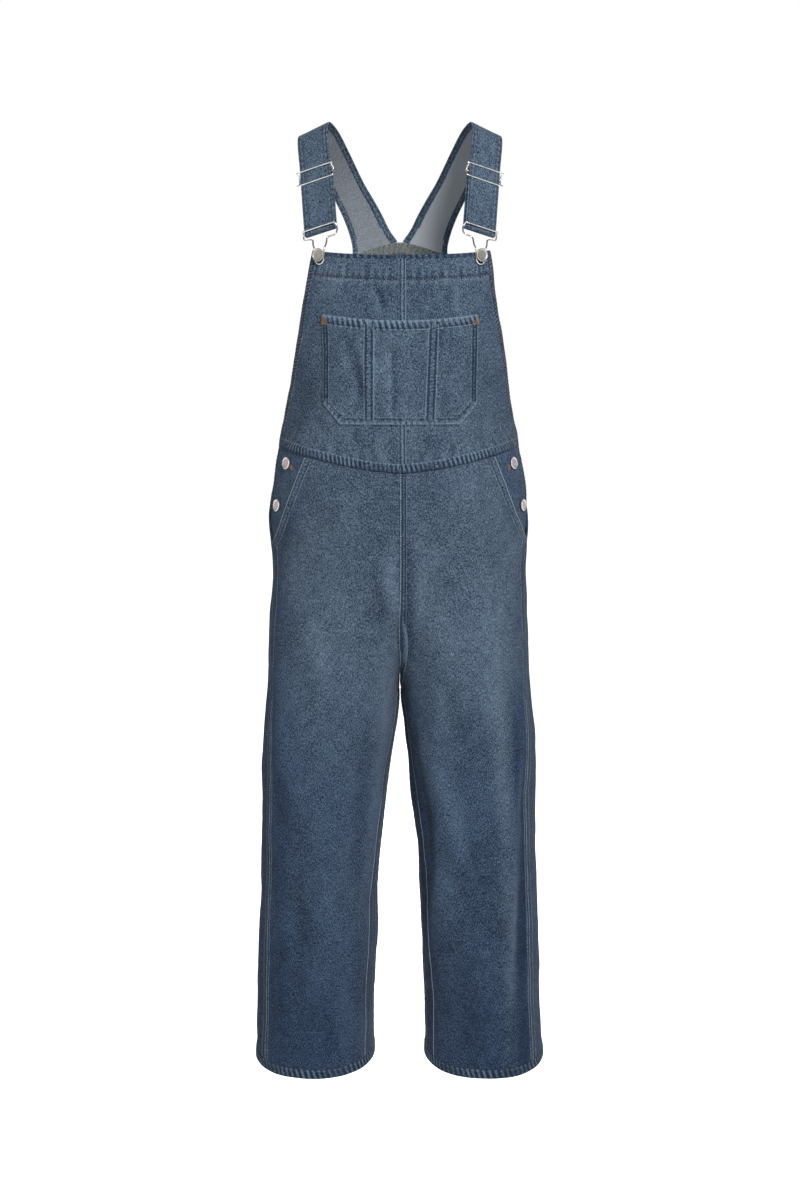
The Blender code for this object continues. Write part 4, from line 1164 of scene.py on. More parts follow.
def make_trousers():
    size = sizes()
    hem, fell, pitch, height = size.hem_fold, size.fell, size.rope_pitch, size.rope_height
    lines, ridges = [], []
    for side in (-1, 1):
        for face, label in ((1, "front_leg_"), (-1, "back_leg_")):
            skin = trouser_skin(side, face)
            if side < 0:
                skin.nearest = -0.0005
            us = clustered(0.0, 1.0 if side > 0 else 1.006, TROUSER_COUNTS[0])
            vs = clustered(WAIST_SIDE, HEM_SIDE, TROUSER_COUNTS[1], 0.5)
            u, v = np.meshgrid(us, vs)
            relief = trouser_relief(side, face)
            # Lighter thighs, worn and lit; painted shade low on the leg and on its outer strip where side and
            # face share a sign; a painted highlight on the inner side where they differ (bright) and on a lit
            # fold near the outer side where they share a sign (ridge); and pucker ridges lighter, worn and
            # lit.
            fade_and_painted_shade = 0.10 * bump((u - 0.45) / 0.30, 1.0) * bump((v - 0.74) / 0.26, 1.0) - 0.02
            bright = bump((u - 0.86) / 0.13, 1.0) * bump((v - 0.92) / 0.20, 1.0) * (side * face < 0)
            fade_and_painted_shade = fade_and_painted_shade - 0.07 * smooth((v - 0.76) / 0.12) * smooth((0.75 - u) / 0.2) * (side * face > 0)
            ridge = bump((u - 0.275) / 0.055, 1.0) * bump((v - 0.93) / 0.20, 1.0) * (side * face > 0)
            fade_and_painted_shade = fade_and_painted_shade - 0.10 * smooth((0.22 - u) / 0.06) * smooth((v - 0.76) / 0.12) * (side * face > 0)
            light = relief(u, v) / 0.0004 * 0.10 + fade_and_painted_shade + 0.36 * bright + 0.26 * ridge
            piece = panel(label + hand(side), skin, us, vs, relief, light, trouser_tone(u, v, side, face))
            across = np.linspace(0.0, 1.0, 190)
            across, at_hem = left_of(skin, across, np.full(across.shape, HEM_SIDE), -1, axis=1)
            seed = 3.0 * side + face
            # The hem: worn roping, darker overall, a painted highlight just below its top edge and a painted
            # shadow line along that edge.
            band = add_band(
                "hem_" + label + hand(side), skin, across, at_hem, wrap_section(hem, 0.0008),
                finish_of("denim"),
                relief=lambda s, w: height * rope(s, w, pitch, 0.55, seed) * bump(w - hem * 0.45, hem * 0.45),
                light=lambda s, w: 0.46 * rope(s, w, pitch, 0.30, seed) - 0.17
                + 0.26 * bump(w - hem * 0.93, 0.0012) - 0.30 * bump(w - hem, 0.0008),
                tone=0.12)
            lines.append(stitch_line(skin, across, at_hem, hem * 0.82, 0.0009))
            seams = trouser_seams(side, face, skin, fell, lines, ridges)
            bands = join("seams_" + label + hand(side), [band] + seams)
            finish_piece(bands, ())
            finish_piece(piece, (label + hand(side),),
                         rests_on=["bib_" + hand(side) if face > 0 else "back_bib_" + hand(side)])
    sew("trouser_stitches", lines, finish_of("tonal"))
    # Pale lines on the seams' worn ridges: painted highlights.
    sew("trouser_ridge_highlights", ridges, finish_of("pale"), width=0.0011, length_share=1.0)


def seam_light(width, seed, parts=(0.22, 0.80), bright=0.42):
    """A fell's worn light ladder between its stitch lines, painted shade in each stitch groove and at the
    seam line, a worn ridge with a painted highlight outside each stitch line, and a painted highlight at the
    fell's far edge.
    """
    middle = half = 0.5
    if parts:
        middle, half = (parts[1] + parts[0]) / 2, (parts[1] - parts[0]) / 2

    def light(s, w):
        ladder = ripple(s, 0.0040, 1.5 * np.sin(s * 47 + seed)) * (0.7 + 0.3 * np.sin(s * 83))
        shade = (0.14 * ladder + 0.20) * bump(w - width * middle, width * half * 0.9)
        for part in parts:
            beyond = np.sign(0.5 - part) * (w - width * part)
            # Painted shade in the stitch groove, and a painted highlight on the worn ridge outside it.
            shade = shade - 0.62 * bump(beyond, GROOVE) + bright * bump(beyond + GROOVE * 1.4, GROOVE)
        # A painted highlight at the far edge and a painted shadow line at the seam line.
        return shade + 0.20 * bump(w - width * 0.99, 0.0011) - 0.30 * bump(w, 0.0009)
    return light


SIDE_RIDGE = 0.0144       # how far the pale lines lie from the side seam and from the inner leg: worn ridges, painted as highlights
INNER_RIDGE = 0.0340
ROWS_A_METRE = 540
CENTRE_START = -0.0008    # where the band at centre starts, beyond the edge of the cloth


def trouser_seams(side, face, skin, fell, lines, ridges):
    """Fells beside the side seam and the inner leg (front) and the centre seam."""
    made = []
    label = "{}_{}_".format(face, side)
    relief = lambda s, w: 0.00016 * ripple(s, 0.0064, 1.5 * np.sin(s * 47 + side))

    def fell_band(name, place, top, inward, start, width, parts, tone, level=0.0):
        """A fell from start to start + width inside the piece's edge, with stitch lines at parts of it."""
        down = np.linspace(top, HEM_SIDE - 0.0135, int((HEM_SIDE - top) * ROWS_A_METRE))
        u, v = left_of(skin, np.full(down.shape, place), down, inward)
        section = [(start + away, height) for away, height in fell_section(width, 0.0007, parts)]
        light = lambda s, w: seam_light(width, side + face, parts)(s, w - start) + level
        made.append(add_band(label + name, skin, u, v, section, finish_of("denim"), relief, light, tone))
        lines.extend(stitch_line(skin, u, v, start + width * part, 0.0007) for part in parts)
        return u, v

    if face > 0:
        u, v = fell_band("side", 0.0, 0.582, 1, -0.0006, 0.0210, (0.46, 0.82), 0.45, -0.16)
        low = v > 0.80
        # A pale line on the worn ridge beside the seam: a painted highlight.
        ridges.append(stitch_line(skin, u[low], v[low], SIDE_RIDGE, 0.0007))
        fell_band("inner_edge", 1.0, CROTCH + 0.006, -1, -0.0006, 0.0060, (), 0.4)
        u, v = fell_band("inner", 1.0, CROTCH + 0.012, -1, 0.0250, 0.0095, (0.2, 0.75), 0.45, -0.08)
        low = v > 0.95
        ridges.append(stitch_line(skin, u[low], v[low], INNER_RIDGE, 0.0005))
    if side > 0:
        down = np.linspace(WAIST_SIDE + 0.001, CROTCH - 0.004, 220)
        skin.nearest = CENTRE_START
        u, v = left_of(skin, np.full(down.shape, 1.0), down, -1)
        width, parts = fell * 1.15, (0.30, 0.84)
        section = [(away + CENTRE_START, height) for away, height in fell_section(width, 0.0007, parts)]
        strip = seam_light(width, side + face, parts, 0.55)
        made.append(add_band(label + "centre", skin, u, v, section, finish_of("denim"), relief,
                             lambda s, w: strip(s, w - CENTRE_START) - 0.16, 0.0))
        lines += [stitch_line(skin, u, v, width * share + CENTRE_START, 0.0006) for share in parts]
        # A pale line on the centre seam's edge: a painted highlight.
        ridges.append(stitch_line(skin, u, v, 0.0008, 0.0007))
    return made


def make_hips():
    lines, ridges = [], []
    for side in (-1, 1):
        skin = facing_skin(side)
        us = np.linspace(0.0, 2.0, 44)
        vs = np.linspace(WAIST_SIDE, SLIT_BOTTOM[1] - 0.003, 76)
        piece = panel("hip_facing_" + hand(side), skin, us, vs, None, 0.10, 0.55)
        stand = panel("button_stand_" + hand(side), stand_skin(side), np.linspace(0.0, 1.0, 16),
                      np.linspace(*PLACKET, 44), None, -0.05, 0.4)
        bands = slit_bands(side, skin, lines, ridges)
        finish_piece(bands, ())
        finish_piece(piece, ("hip_facing_" + hand(side),),
                     rests_on=["front_leg_" + hand(side)])
        finish_piece(stand, ("button_stand_" + hand(side),),
                     rests_on=["hip_facing_" + hand(side)])
    sew("hip_stitches", lines, finish_of("tonal"))
    # Pale lines on the slit's worn edge: painted highlights.
    sew("hip_ridge_highlights", ridges, finish_of("pale"), width=0.0009, length_share=1.0)


SLIT_HEM = 0.0125


def slit_bands(side, facing, lines, ridges):
    """The slant pocket's folded edge on the front, and the stitched side edge of the facing."""
    front = trouser_skin(side, 1)
    down = np.linspace(WAIST_SIDE + 0.002, SLIT_BOTTOM[1] - 0.001, 110)
    u, v = left_of(front, np.zeros(down.shape), down, 1)
    # The slit's edge: a painted highlight along its fold and along its inner edge, painted shade in both
    # stitch grooves, and worn puckers between.
    made = [add_band("slit_" + hand(side), front, u, v, wrap_section(SLIT_HEM, 0.0006), finish_of("denim"),
                     lambda s, w: 0.00022 * ripple(s, 0.0075, np.sin(s * 60)) * bump(w - 0.005, 0.004),
                     lambda s, w: 0.80 * bump(w, 0.0026) - 0.46 * bump(w - SLIT_HEM * 0.22, 0.0013)
                     - 0.42 * bump(w - SLIT_HEM * 0.82, 0.0012) + 0.34 * bump(w - SLIT_HEM * 0.95, 0.0012)
                     + (0.08 + 0.12 * ripple(s, 0.0060, np.sin(s * 60))) * bump(w - 0.007, 0.003), 0.0)]
    lines.append(stitch_line(front, u, v, SLIT_HEM * 0.84, 0.0006))
    lines.append(stitch_line(front, u, v, 0.0036, 0.0007))
    # A pale line along the slit's folded edge: a painted highlight.
    ridges.append(stitch_line(front, u, v, 0.0010, 0.0007))
    down = np.linspace(WAIST_SIDE + 0.001, PLACKET[1], 90)
    u, v = left_of(facing, np.zeros(down.shape), down, 1)
    made.append(add_band("placket_" + hand(side), facing, u, v, wrap_section(0.008, 0.0005),
                         finish_of("denim"), lambda s, w: 0.0002 * ripple(s, 0.0062),
                         lambda s, w: 0.40 * ripple(s, 0.0062) - 0.28, 0.35))
    lines.append(stitch_line(facing, u, v, 0.0055, 0.0006))
    return join("pocket_edges_" + hand(side), made)


BIB_BAND = 0.030 / 0.285  # the top band's share of the bib's height


def make_bibs():
    lines, beige, olive = [], [], []
    for side in (-1, 1):
        skin = bib_skin(side)
        us = np.linspace(0.0, 1.0, 74)
        vs = clustered(0.0, 1.0, 120, 0.35)
        u, v = np.meshgrid(us, vs)
        puckers = lambda u, v: (ripple(u * 0.125, 0.0092, 1.1 * np.sin(u * 23 + side))
                                * (0.65 + 0.35 * np.sin(u * 31 + side))
                                * bump((v - BIB_BAND * 0.88) / BIB_BAND, 0.34))
        low = lambda u, v: ripple(u * 0.17, 0.0130, 1.4 * np.sin(u * 17 + side)) * bump(1 - v, 0.11)
        groove = lambda v: bump(v - BIB_BAND, 0.006)
        relief = lambda u, v: 0.00050 * (puckers(u, v) + low(u, v)) - 0.00045 * groove(v)
        # Worn pucker ridges painted lighter and hollows darker; painted shade in the groove under the top
        # band, with a painted highlight just below it.
        light = (0.30 * puckers(u, v) + 0.17 * low(u, v) - 0.50 * groove(v)
                 + 0.22 * bump(v - BIB_BAND * 1.16, 0.010) + 0.03 * smooth((BIB_BAND - v) / 0.01)
                 + 0.02 * bump(v - 0.75, 0.25))
        # Tone: darker and bluer towards the bib's side, less faded and painted shade, and a little darker
        # across its upper part.
        tone = 0.30 * smooth((0.20 - u) / 0.20) + 0.12 * bump((v - 0.28) / 0.16, 1.0)
        piece = panel("bib_" + hand(side), skin, us, vs, relief, light, tone)
        bands = bib_bands(side, skin, lines, beige, olive)
        finish_piece(bands, ())
        finish_piece(piece, ("bib_" + hand(side),),
                     rests_on=["hook_" + hand(side)])
    sew("bib_stitches", lines, finish_of("tonal"))
    sew("bib_top_stitches", beige, finish_of("beige"))
    sew("bib_side_stitches", olive, finish_of("olive"), width=0.0009)


WAIST_FELL = 0.0130
BIB_HEM = 0.0090
BACK_HEM = 0.0200


def bib_bands(side, skin, lines, beige, olive):
    """A bib's folded top edge, side hem, felled waist seam and centre seam."""
    pitch, height = sizes().rope_pitch, sizes().rope_height
    denim_finish = finish_of("denim")
    made = []
    across = np.linspace(0.0, 1.0, 120)
    u, v = left_of(skin, across, np.zeros(across.shape), 1, axis=1)
    made.append(add_band("top", skin, u, v, wrap_section(0.0050, 0.0003), denim_finish,
                         lambda s, w: 0.0001 * rope(s, w, 0.0092, 0.0, side),
                         lambda s, w: 0.24 * rope(s, w, 0.0092, 0.2, side) - 0.16, 0.2))
    for away in (0.0, 0.0014):
        beige.append(stitch_line(skin, across, np.full(across.shape, BIB_BAND), away, 0.0002))
    u, v = left_of(skin, across, np.ones(across.shape), -1, axis=1)
    half = WAIST_FELL / 2
    # Waist fell: worn roping, a painted highlight along its upper edge and a painted shadow along its lower
    # edge.
    made.append(add_band("waist", skin, u, v, fell_section(WAIST_FELL, 0.0009), denim_finish,
                         lambda s, w: height * rope(s, w, pitch, 0.35, side) * bump(w - half, half * 0.8),
                         lambda s, w: 0.60 * rope(s, w, pitch * 0.8, 0.20, side)
                         + 0.40 * bump(w - WAIST_FELL, 0.0016) - 0.36 * bump(w, 0.0024) - 0.05, 0.15))
    lines += [stitch_line(skin, u, v, WAIST_FELL * part, 0.0008) for part in (0.20, 0.80)]
    down = np.linspace(0.004, 0.996, 170)
    u, v = left_of(skin, np.zeros(down.shape), down, 1)
    # Side hem: worn roping, a painted highlight along its inner edge and painted shade in its stitch grooves.
    made.append(add_band("side", skin, u, v, wrap_section(BIB_HEM, 0.0006), denim_finish,
                         lambda s, w: 0.00022 * rope(s, w, 0.0060, 0.5, side),
                         lambda s, w: 0.34 * rope(s, w, 0.0050, 0.5, side) + 0.02
                         + 0.30 * bump(w - BIB_HEM * 0.95, 0.0009) - 0.46 * bump(w - BIB_HEM * 0.80, 0.0013)
                         - 0.30 * bump(w - BIB_HEM * 0.22, 0.0010), 0.25))
    olive.append(stitch_line(skin, u, v, BIB_HEM * 0.82, 0.0006))
    olive.append(stitch_line(skin, u, v, 0.0022, 0.0007))
    if side > 0:
        down = np.linspace(0.015, 0.955, 150)
        u, v = left_of(skin, np.full(down.shape, 1.0), down, -1)
        start, width, parts = -0.0030, 0.0135, (0.22, 0.76)
        section = [(start + away, height) for away, height in fell_section(width, 0.0008, parts)]
        strip = seam_light(width, 1.0, parts, 0.36)
        made.append(add_band("centre", skin, u, v, section, denim_finish,
                             lambda s, w: 0.00012 * ripple(s, 0.0058, np.sin(s * 50)),
                             lambda s, w: strip(s, w - start) + 0.05, 0.0))
        lines += [stitch_line(skin, u, v, start + width * part, 0.0008) for part in parts]
    return join("bib_seams_" + hand(side), made)


# The bib pocket's parts.  Columns: width as sewn, the flat size of the whole cut, its area.
POCKET_CUTS = {
    "left": (0.064, (0.080, 0.144), 0.0094),
    "centre": (0.088, (0.090, 0.141), 0.0125),
    "right": (0.062, (0.080, 0.144), 0.0094),
}


def make_bib_pocket():
    lines, bars = [], []
    for label, (width, flat, area) in POCKET_CUTS.items():
        skin = pocket_skin(label)
        us, vs = np.linspace(0.0, 2.0, 42), clustered(0.0, 1.0, 68, 0.3)
        u, v = np.meshgrid(us, vs)
        seed = len(label)
        puckers = lambda u, v: (ripple(u * width / 2, 0.0095, seed + np.sin(u * 9))
                                * (bump(v, 0.16) + bump(1 - v, 0.14)))
        relief = lambda u, v: 0.00045 * puckers(u, v)
        # Pucker ridges lighter and hollows darker: worn, and painted light.
        light = 0.16 * puckers(u, v) + (0.02 if label == "centre" else -0.02)
        piece = panel("bib_pocket_" + label, skin, us, vs, relief, light, 0.0)
        bands = pocket_bands(label, skin, lines, seed)
        if label != "centre":
            corner = 0.0 if label == "left" else 2.0
            inward = 1 if label == "left" else -1
            for step_u, step_v, turn in ((0.06, 0.055, 0.0), (0.16, 0.075, 1.1)):
                at = np.array(corner + inward * step_u), np.array(step_v)
                place, out = skin.place(*at, 0.0012), skin.base(*at)[1]
                along = unit(np.cross(out, (math.cos(turn), 0.0, math.sin(turn) * inward)))
                bars += bartack(place, along, out, 0.0110 - 0.003 * turn, 0.0034)
        finish_piece(bands, ())
        finish_piece(piece, ("bib_pocket_" + label,),
                     rests_on=["bib_left", "bib_right"])
    sew("pocket_stitches", lines, finish_of("tonal"))
    sew("pocket_bartacks", bars, finish_of("ochre"), 0.0018)


def pocket_bands(label, skin, lines, seed):
    """The pocket's hemmed mouth, the folded edges sewn to the bib, and the seams between its parts."""
    denim_finish = finish_of("denim")
    across = np.linspace(0.0, 2.0, 90)
    made = []
    for edge, width, rise, scallop in ((0.0, 0.0125, 0.0007, 0.44), (1.0, 0.0095, 0.0004, 0.22)):
        u, v = left_of(skin, across, np.full(across.shape, edge), 0.5 - edge, axis=1)
        # Worn scallops, a painted highlight along the fold and along the band's inner edge, and painted shade
        # in the inner stitch groove.
        made.append(add_band(
            "edge_{}".format(edge), skin, u, v, wrap_section(width, rise), denim_finish,
            lambda s, w: 0.00028 * rope(s, w, 0.0078, 0.3, seed) * bump(w - width / 2, width / 2),
            lambda s, w: scallop * rope(s, w, 0.0078, 0.3, seed) + 0.42 * bump(w, 0.0022)
            + 0.45 * bump(w - width * 0.95, 0.0012) - 0.45 * bump(w - width * 0.80, 0.0013), 0.0))
        lines.append(stitch_line(skin, u, v, width * 0.82, rise + 0.0001))
        lines.append(stitch_line(skin, u, v, width * 0.25, rise + 0.0002))
    down = np.linspace(0.0, 1.0, 110)
    sides = {"left": ((0.0, "edge"),), "centre": ((0.0, "seam"), (2.0, "seam")), "right": ((2.0, "edge"),)}
    for place, kind in sides[label]:
        inward = 1 if place == 0.0 else -1
        u, v = left_of(skin, np.full(down.shape, place), down, inward)
        if kind == "edge":
            section = wrap_section(0.0095, 0.0004)
            middle, stitched, ridge, offsets = 0.0048, 0.0027, 1.72, (0.0013, 0.0085)
        else:
            section = [(away - 0.0075, height) for away, height in fell_section(0.0150, 0.0008, (0.21, 0.79))]
            u, v = u[4:-4], v[4:-4]
            middle, stitched, ridge, offsets = 0.0, 0.0044, 1.48, (-0.0042, 0.0042)
        # Worn roping, a painted highlight on the ridge outside each stitch line and painted shade in the
        # stitch grooves.
        made.append(add_band(
            kind + "_{}".format(place), skin, u, v, section, denim_finish,
            lambda s, w: 0.00014 * rope(s, w, 0.0072, 0.2, seed),
            lambda s, w: 0.12 * rope(s, w, 0.0050, 0.2, seed) + 0.08
            + 0.44 * bump(np.abs(w - middle) - stitched * ridge, 0.0014)
            - 0.75 * bump(np.abs(w - middle) - stitched, 0.0014), 0.0))
        lines.extend(stitch_line(skin, u, v, away, 0.0006) for away in offsets)
    return join("pocket_seams_" + label, made)


def make_back_bibs():
    lines = []
    for side in (-1, 1):
        skin = back_bib_skin(side)
        us, vs = np.linspace(0.0, 1.0, 60), clustered(0.0, 1.0, 110, 0.3)
        u, v = np.meshgrid(us, vs)
        puckers = lambda u, v: (ripple(u * 0.12, 0.012, np.sin(u * 19 + side))
                                * (bump(v, 0.08) + bump(1 - v, 0.09)))
        # Pucker ridges lighter and hollows darker: worn, and painted light.
        piece = panel("back_bib_" + hand(side), skin, us, vs, lambda u, v: 0.00045 * puckers(u, v),
                      0.15 * puckers(u, v), 0.25)
        bands = back_bands(side, skin, lines)
        finish_piece(bands, ())
        finish_piece(piece, ("back_bib_" + hand(side),),
                     rests_on=["strap_" + hand(side)])
    sew("back_stitches", lines, finish_of("tonal"))


def back_bands(side, skin, lines):
    """A back bib's deep top hem, side hem, felled waist seam and centre seam."""
    size = sizes()
    denim_finish = finish_of("denim")
    made = []
    across = np.linspace(0.0, 1.0, 110)
    for edge, width, section, yoke, scallop in (
            (0.0, BACK_HEM, wrap_section(BACK_HEM, 0.0006), finish_of("yoke"), 0.10),
            (1.0, WAIST_FELL, fell_section(WAIST_FELL, 0.0009), None, 0.30)):
        u, v = left_of(skin, across, np.full(across.shape, edge), 0.5 - edge, axis=1)
        ridge = lambda s, w: rope(s, w, size.rope_pitch, 0.35, side + edge)
        # Worn roping, with painted shade in the stitch groove at 0.8 of the band's width.
        made.append(add_band("edge_{}".format(edge), skin, u, v, section, denim_finish, inside=yoke,
                             relief=lambda s, w: size.rope_height * ridge(s, w),
                             light=lambda s, w: scallop * ridge(s, w) - 0.35 * bump(w - width * 0.8, 0.0012),
                             tone=0.1))
        lines += [stitch_line(skin, u, v, width * part, 0.0009) for part in (0.2, 0.8)]
    down = np.linspace(0.0, 0.996, 170)
    u, v = left_of(skin, np.zeros(down.shape), down, 1)
    made.append(add_band("side", skin, u, v, wrap_section(BIB_HEM, 0.0006), denim_finish,
                         lambda s, w: 0.00022 * rope(s, w, 0.0060, 0.5, side),
                         lambda s, w: 0.30 * rope(s, w, 0.0060, 0.5, side) - 0.1, 0.4))
    lines += [stitch_line(skin, u, v, away, 0.0007) for away in (0.0022, 0.0074)]
    if side > 0:
        down = np.linspace(0.05, 0.955, 150)
        u, v = left_of(skin, np.full(down.shape, 1.004), down, -1)
        made.append(add_band("centre", skin, u, v, fell_section(size.fell, 0.0007), denim_finish,
                             lambda s, w: 0.0002 * ripple(s, 0.0058, np.sin(s * 50)),
                             seam_light(size.fell, 2.0), 0.2))
        lines += [stitch_line(skin, u, v, size.fell * part, 0.0006) for part in (0.22, 0.78)]
    return join("back_seams_" + hand(side), made)


# ---------------------------------------------------------------- straps and metal
def unit(vector):
    return vector / np.linalg.norm(vector)


def width_direction(side, slope, sweep):
    slope, sweep = math.radians(slope), math.radians(sweep)
    return np.array((side * math.cos(slope) * math.cos(sweep), math.cos(slope) * math.sin(sweep),
                     -math.sin(slope)))


class Front:
    """The straight front stretch of one strap: its axes, and places measured along them."""

    def __init__(self, side):
        self.side = side
        self.slider = np.array((side * SLIDER[0], *SLIDER[1:]))
        self.hook = np.array((side * HOOK_BAR[0], *HOOK_BAR[1:]))
        self.down = unit(self.hook - self.slider)
        across = width_direction(side, FRONT_SLOPE, FRONT_SWEEP)
        self.across = unit(across - self.down * np.dot(across, self.down))
        self.out = unit(np.cross(self.across, self.down))
        if self.out[1] > 0:
            self.out = -self.out
        self.length = float(np.linalg.norm(self.hook - self.slider))

    def place(self, across, down, out):
        return self.slider + self.across * across + self.down * down + self.out * out


FOLD_RADIUS = BAR_RADIUS + GAP + STRAP_PLY / 2
STRAP_STEPS = 9


def curve(padded, steps):
    """A Catmull-Rom curve through every row of numbers but the first and the last two."""
    result = []
    for index in range(len(padded) - 3):
        before, low, high, after = padded[index:index + 4]
        for t in np.arange(steps) / steps:
            result.append(0.5 * (2 * low + (high - before) * t
                                 + (2 * before - 5 * low + 4 * high - after) * t ** 2
                                 + (3 * low - before - 3 * high + after) * t ** 3))
    return np.array(result)


def open_route(rows, steps):
    rows = np.array(rows, float)
    padded = np.vstack((2 * rows[0] - rows[1], rows, 2 * rows[-1] - rows[-2]))
    return np.vstack((curve(padded, steps), rows[-1]))


def closed_route(rows, steps):
    rows = np.array(rows)
    return curve(np.vstack((rows[-1], rows, rows[0], rows[1])), steps)


def strap_route(front):
    """Middles and half-widths of a strap, from the back bib to its sewn end at the slider."""
    above = front.place(0.0, -STRAP_STRAIGHT, 0.0)
    rows = list(STRAP) + [(abs(above[0]), above[1], above[2], STRAP_HALF, FRONT_SLOPE, FRONT_SWEEP)]
    middles, halves = [], []
    for x, y, z, half, slope, sweep in open_route(rows, STRAP_STEPS):
        middles.append((front.side * x, y, z))
        halves.append(width_direction(front.side, slope, sweep) * half)
    half = front.across * STRAP_HALF
    halves[-1] = half

    def bend(down, turns):
        """Places round a bar, at a distance down the strap's front."""
        return [front.place(0.0, down + FOLD_RADIUS * math.sin(turn),
                            -FOLD_RADIUS + FOLD_RADIUS * math.cos(turn)) for turn in turns[1:]]

    places = [front.place(0.0, down, 0.0) for down in np.linspace(-STRAP_STRAIGHT, front.length, 34)[1:]]
    places += bend(front.length, np.linspace(0.0, math.pi, 15))
    places += [front.place(0.0, down, -2 * FOLD_RADIUS) for down in np.linspace(front.length, 0.0, 30)[1:]]
    places += bend(0.0, np.linspace(math.pi, 1.5 * math.pi, 8))
    middles += places
    halves += [half] * len(places)
    return np.array(middles), np.array(halves)


STRAP_MARGIN = 0.0090
STRAP_STITCHES = (0.0030, 0.0080)
STRAP_COLUMNS = 28


def make_straps():
    lines = []
    for side in (-1, 1):
        front = Front(side)
        middles, halves = strap_route(front)
        along = np.gradient(middles, axis=0)
        normals = np.cross(along, halves)
        normals /= np.linalg.norm(normals, axis=-1, keepdims=True)
        if np.dot(normals[STRAP_STEPS * len(STRAP) + 12], front.out) < 0:
            normals = -normals
        run = np.concatenate(([0.0], np.cumsum(np.linalg.norm(np.diff(middles, axis=0), axis=-1))))
        across = np.sin(np.linspace(-math.pi / 2, math.pi / 2, STRAP_COLUMNS)) * 0.3
        across = across + np.linspace(-0.7, 0.7, STRAP_COLUMNS)
        half_width = np.linalg.norm(halves, axis=-1)
        edge = half_width[:, None] * (1 - np.abs(across))
        wave = ripple(run[:, None], 0.0085, 1.2 * np.sin(run[:, None] * 60 + side))
        groove = sum(bump(edge - place, 0.0007) for place in STRAP_STITCHES)
        relief = 0.00018 * wave * bump(edge - 0.005, 0.006) - 0.00028 * groove - 0.0005 * bump(edge, 0.0009)
        grid = middles[:, None, :] + halves[:, None, :] * across[:, None]
        half_ply = STRAP_PLY / 2
        outer = grid + normals[:, None, :] * (half_ply + relief)[..., None]
        inner = grid - normals[:, None, :] * (half_ply + relief)[..., None]
        # Worn waves by the edges, painted shade in the stitch grooves and a painted highlight on the ridge
        # between them.
        light = (0.16 * wave * bump(edge - 0.004, 0.005) - 0.50 * groove + 0.09
                 + 0.16 * bump(edge - 0.0055, 0.0012))
        inside = edge[:-1, :-1] > STRAP_MARGIN
        # The wrong side's middle painted lighter on the right strap and darker on the left: painted light and
        # shade.
        inside_light = light * 0.8 + np.where(edge > STRAP_MARGIN, 0.90 if side > 0 else -0.22, 0.0)
        piece = add_wall("strap_" + hand(side), outer, inner, cloth_finishes(), light, inside_light, 0.0,
                         inner_slots=inside.astype(int))
        for sign in (1, -1):
            for place in STRAP_STITCHES:
                for way in (-1, 1):
                    share = way * (1 - place / half_width)
                    course = middles + halves * share[:, None] + normals * sign * (half_ply + 0.0001)
                    lines.append((course, normals * sign))
        finish_piece(piece, ("strap_" + hand(side),),
                     rests_on=["hook_" + hand(side)])
    sew("strap_stitches", lines, finish_of("tonal"))


def tube(name, route, radius, sides, finish, reference, closed):
    """A round wire along a route, with domed ends when it is open."""
    route = np.array(route)
    if closed:
        tangents = np.roll(route, -1, axis=0) - np.roll(route, 1, axis=0)
    else:
        tangents = np.gradient(route, axis=0)
    tangents /= np.linalg.norm(tangents, axis=-1, keepdims=True)
    radii = np.full(len(route), radius)
    if not closed:
        dome = [(0.0, 0.35), (0.45, 0.80), (1.0, 1.0)]
        heads = [route[0] + tangents[0] * radius * (step - 1) for step, _ in dome]
        tails = [route[-1] - tangents[-1] * radius * (step - 1) for step, _ in reversed(dome)]
        route = np.concatenate((heads, route[1:-1], tails))
        tangents = np.concatenate((tangents[:1].repeat(3, 0), tangents[1:-1], tangents[-1:].repeat(3, 0)))
        rounding = [share for _, share in dome]
        radii = radius * np.concatenate((rounding, np.ones(len(route) - 6), rounding[::-1]))
    first = np.cross(tangents, reference)
    first /= np.linalg.norm(first, axis=-1, keepdims=True)
    second = np.cross(tangents, first)
    turns = 2 * math.pi * np.arange(sides) / sides
    ring = first[:, None, :] * np.cos(turns)[:, None] + second[:, None, :] * np.sin(turns)[:, None]
    points = route[:, None, :] + ring * radii[:, None, None]
    faces = tube_faces(len(route), sides, closed)
    return make_mesh(name, points.reshape(-1, 3), faces, [finish])


def tube_faces(count, sides, closed):
    faces = []
    for index in range(count if closed else count - 1):
        there = (index + 1) % count
        for corner in range(sides):
            after = (corner + 1) % sides
            faces.append((index * sides + corner, index * sides + after, there * sides + after,
                          there * sides + corner))
    if not closed:
        faces.append(tuple(range(sides - 1, -1, -1)))
        faces.append(tuple(range((count - 1) * sides, count * sides)))
    return faces


def bib_normal(x, drop):
    step = 0.001
    along_x = bib_surface(x + step, drop) - bib_surface(x - step, drop)
    along_z = bib_surface(x, drop + step) - bib_surface(x, drop - step)
    normal = unit(np.cross(along_x, along_z))
    return normal if normal[1] < 0 else -normal


def slider_route(front):
    lift = STRAP_PLY / 2 + GAP + WIRE_RADIUS
    quarter = ((24.0, 1.0, 1.0), (26.2, 0.82, 0.5), (26.9, 0.45, -0.6), (27.0, 0.0, -1.1))
    corners = list(quarter)
    corners += [(across, -along, rise) for across, along, rise in quarter[-2::-1]]
    corners += [(-across, along, rise) for across, along, rise in reversed(corners)]
    return [front.place(across / 1000, along * SLIDER_REACH, rise * lift)
            for across, along, rise in corners]


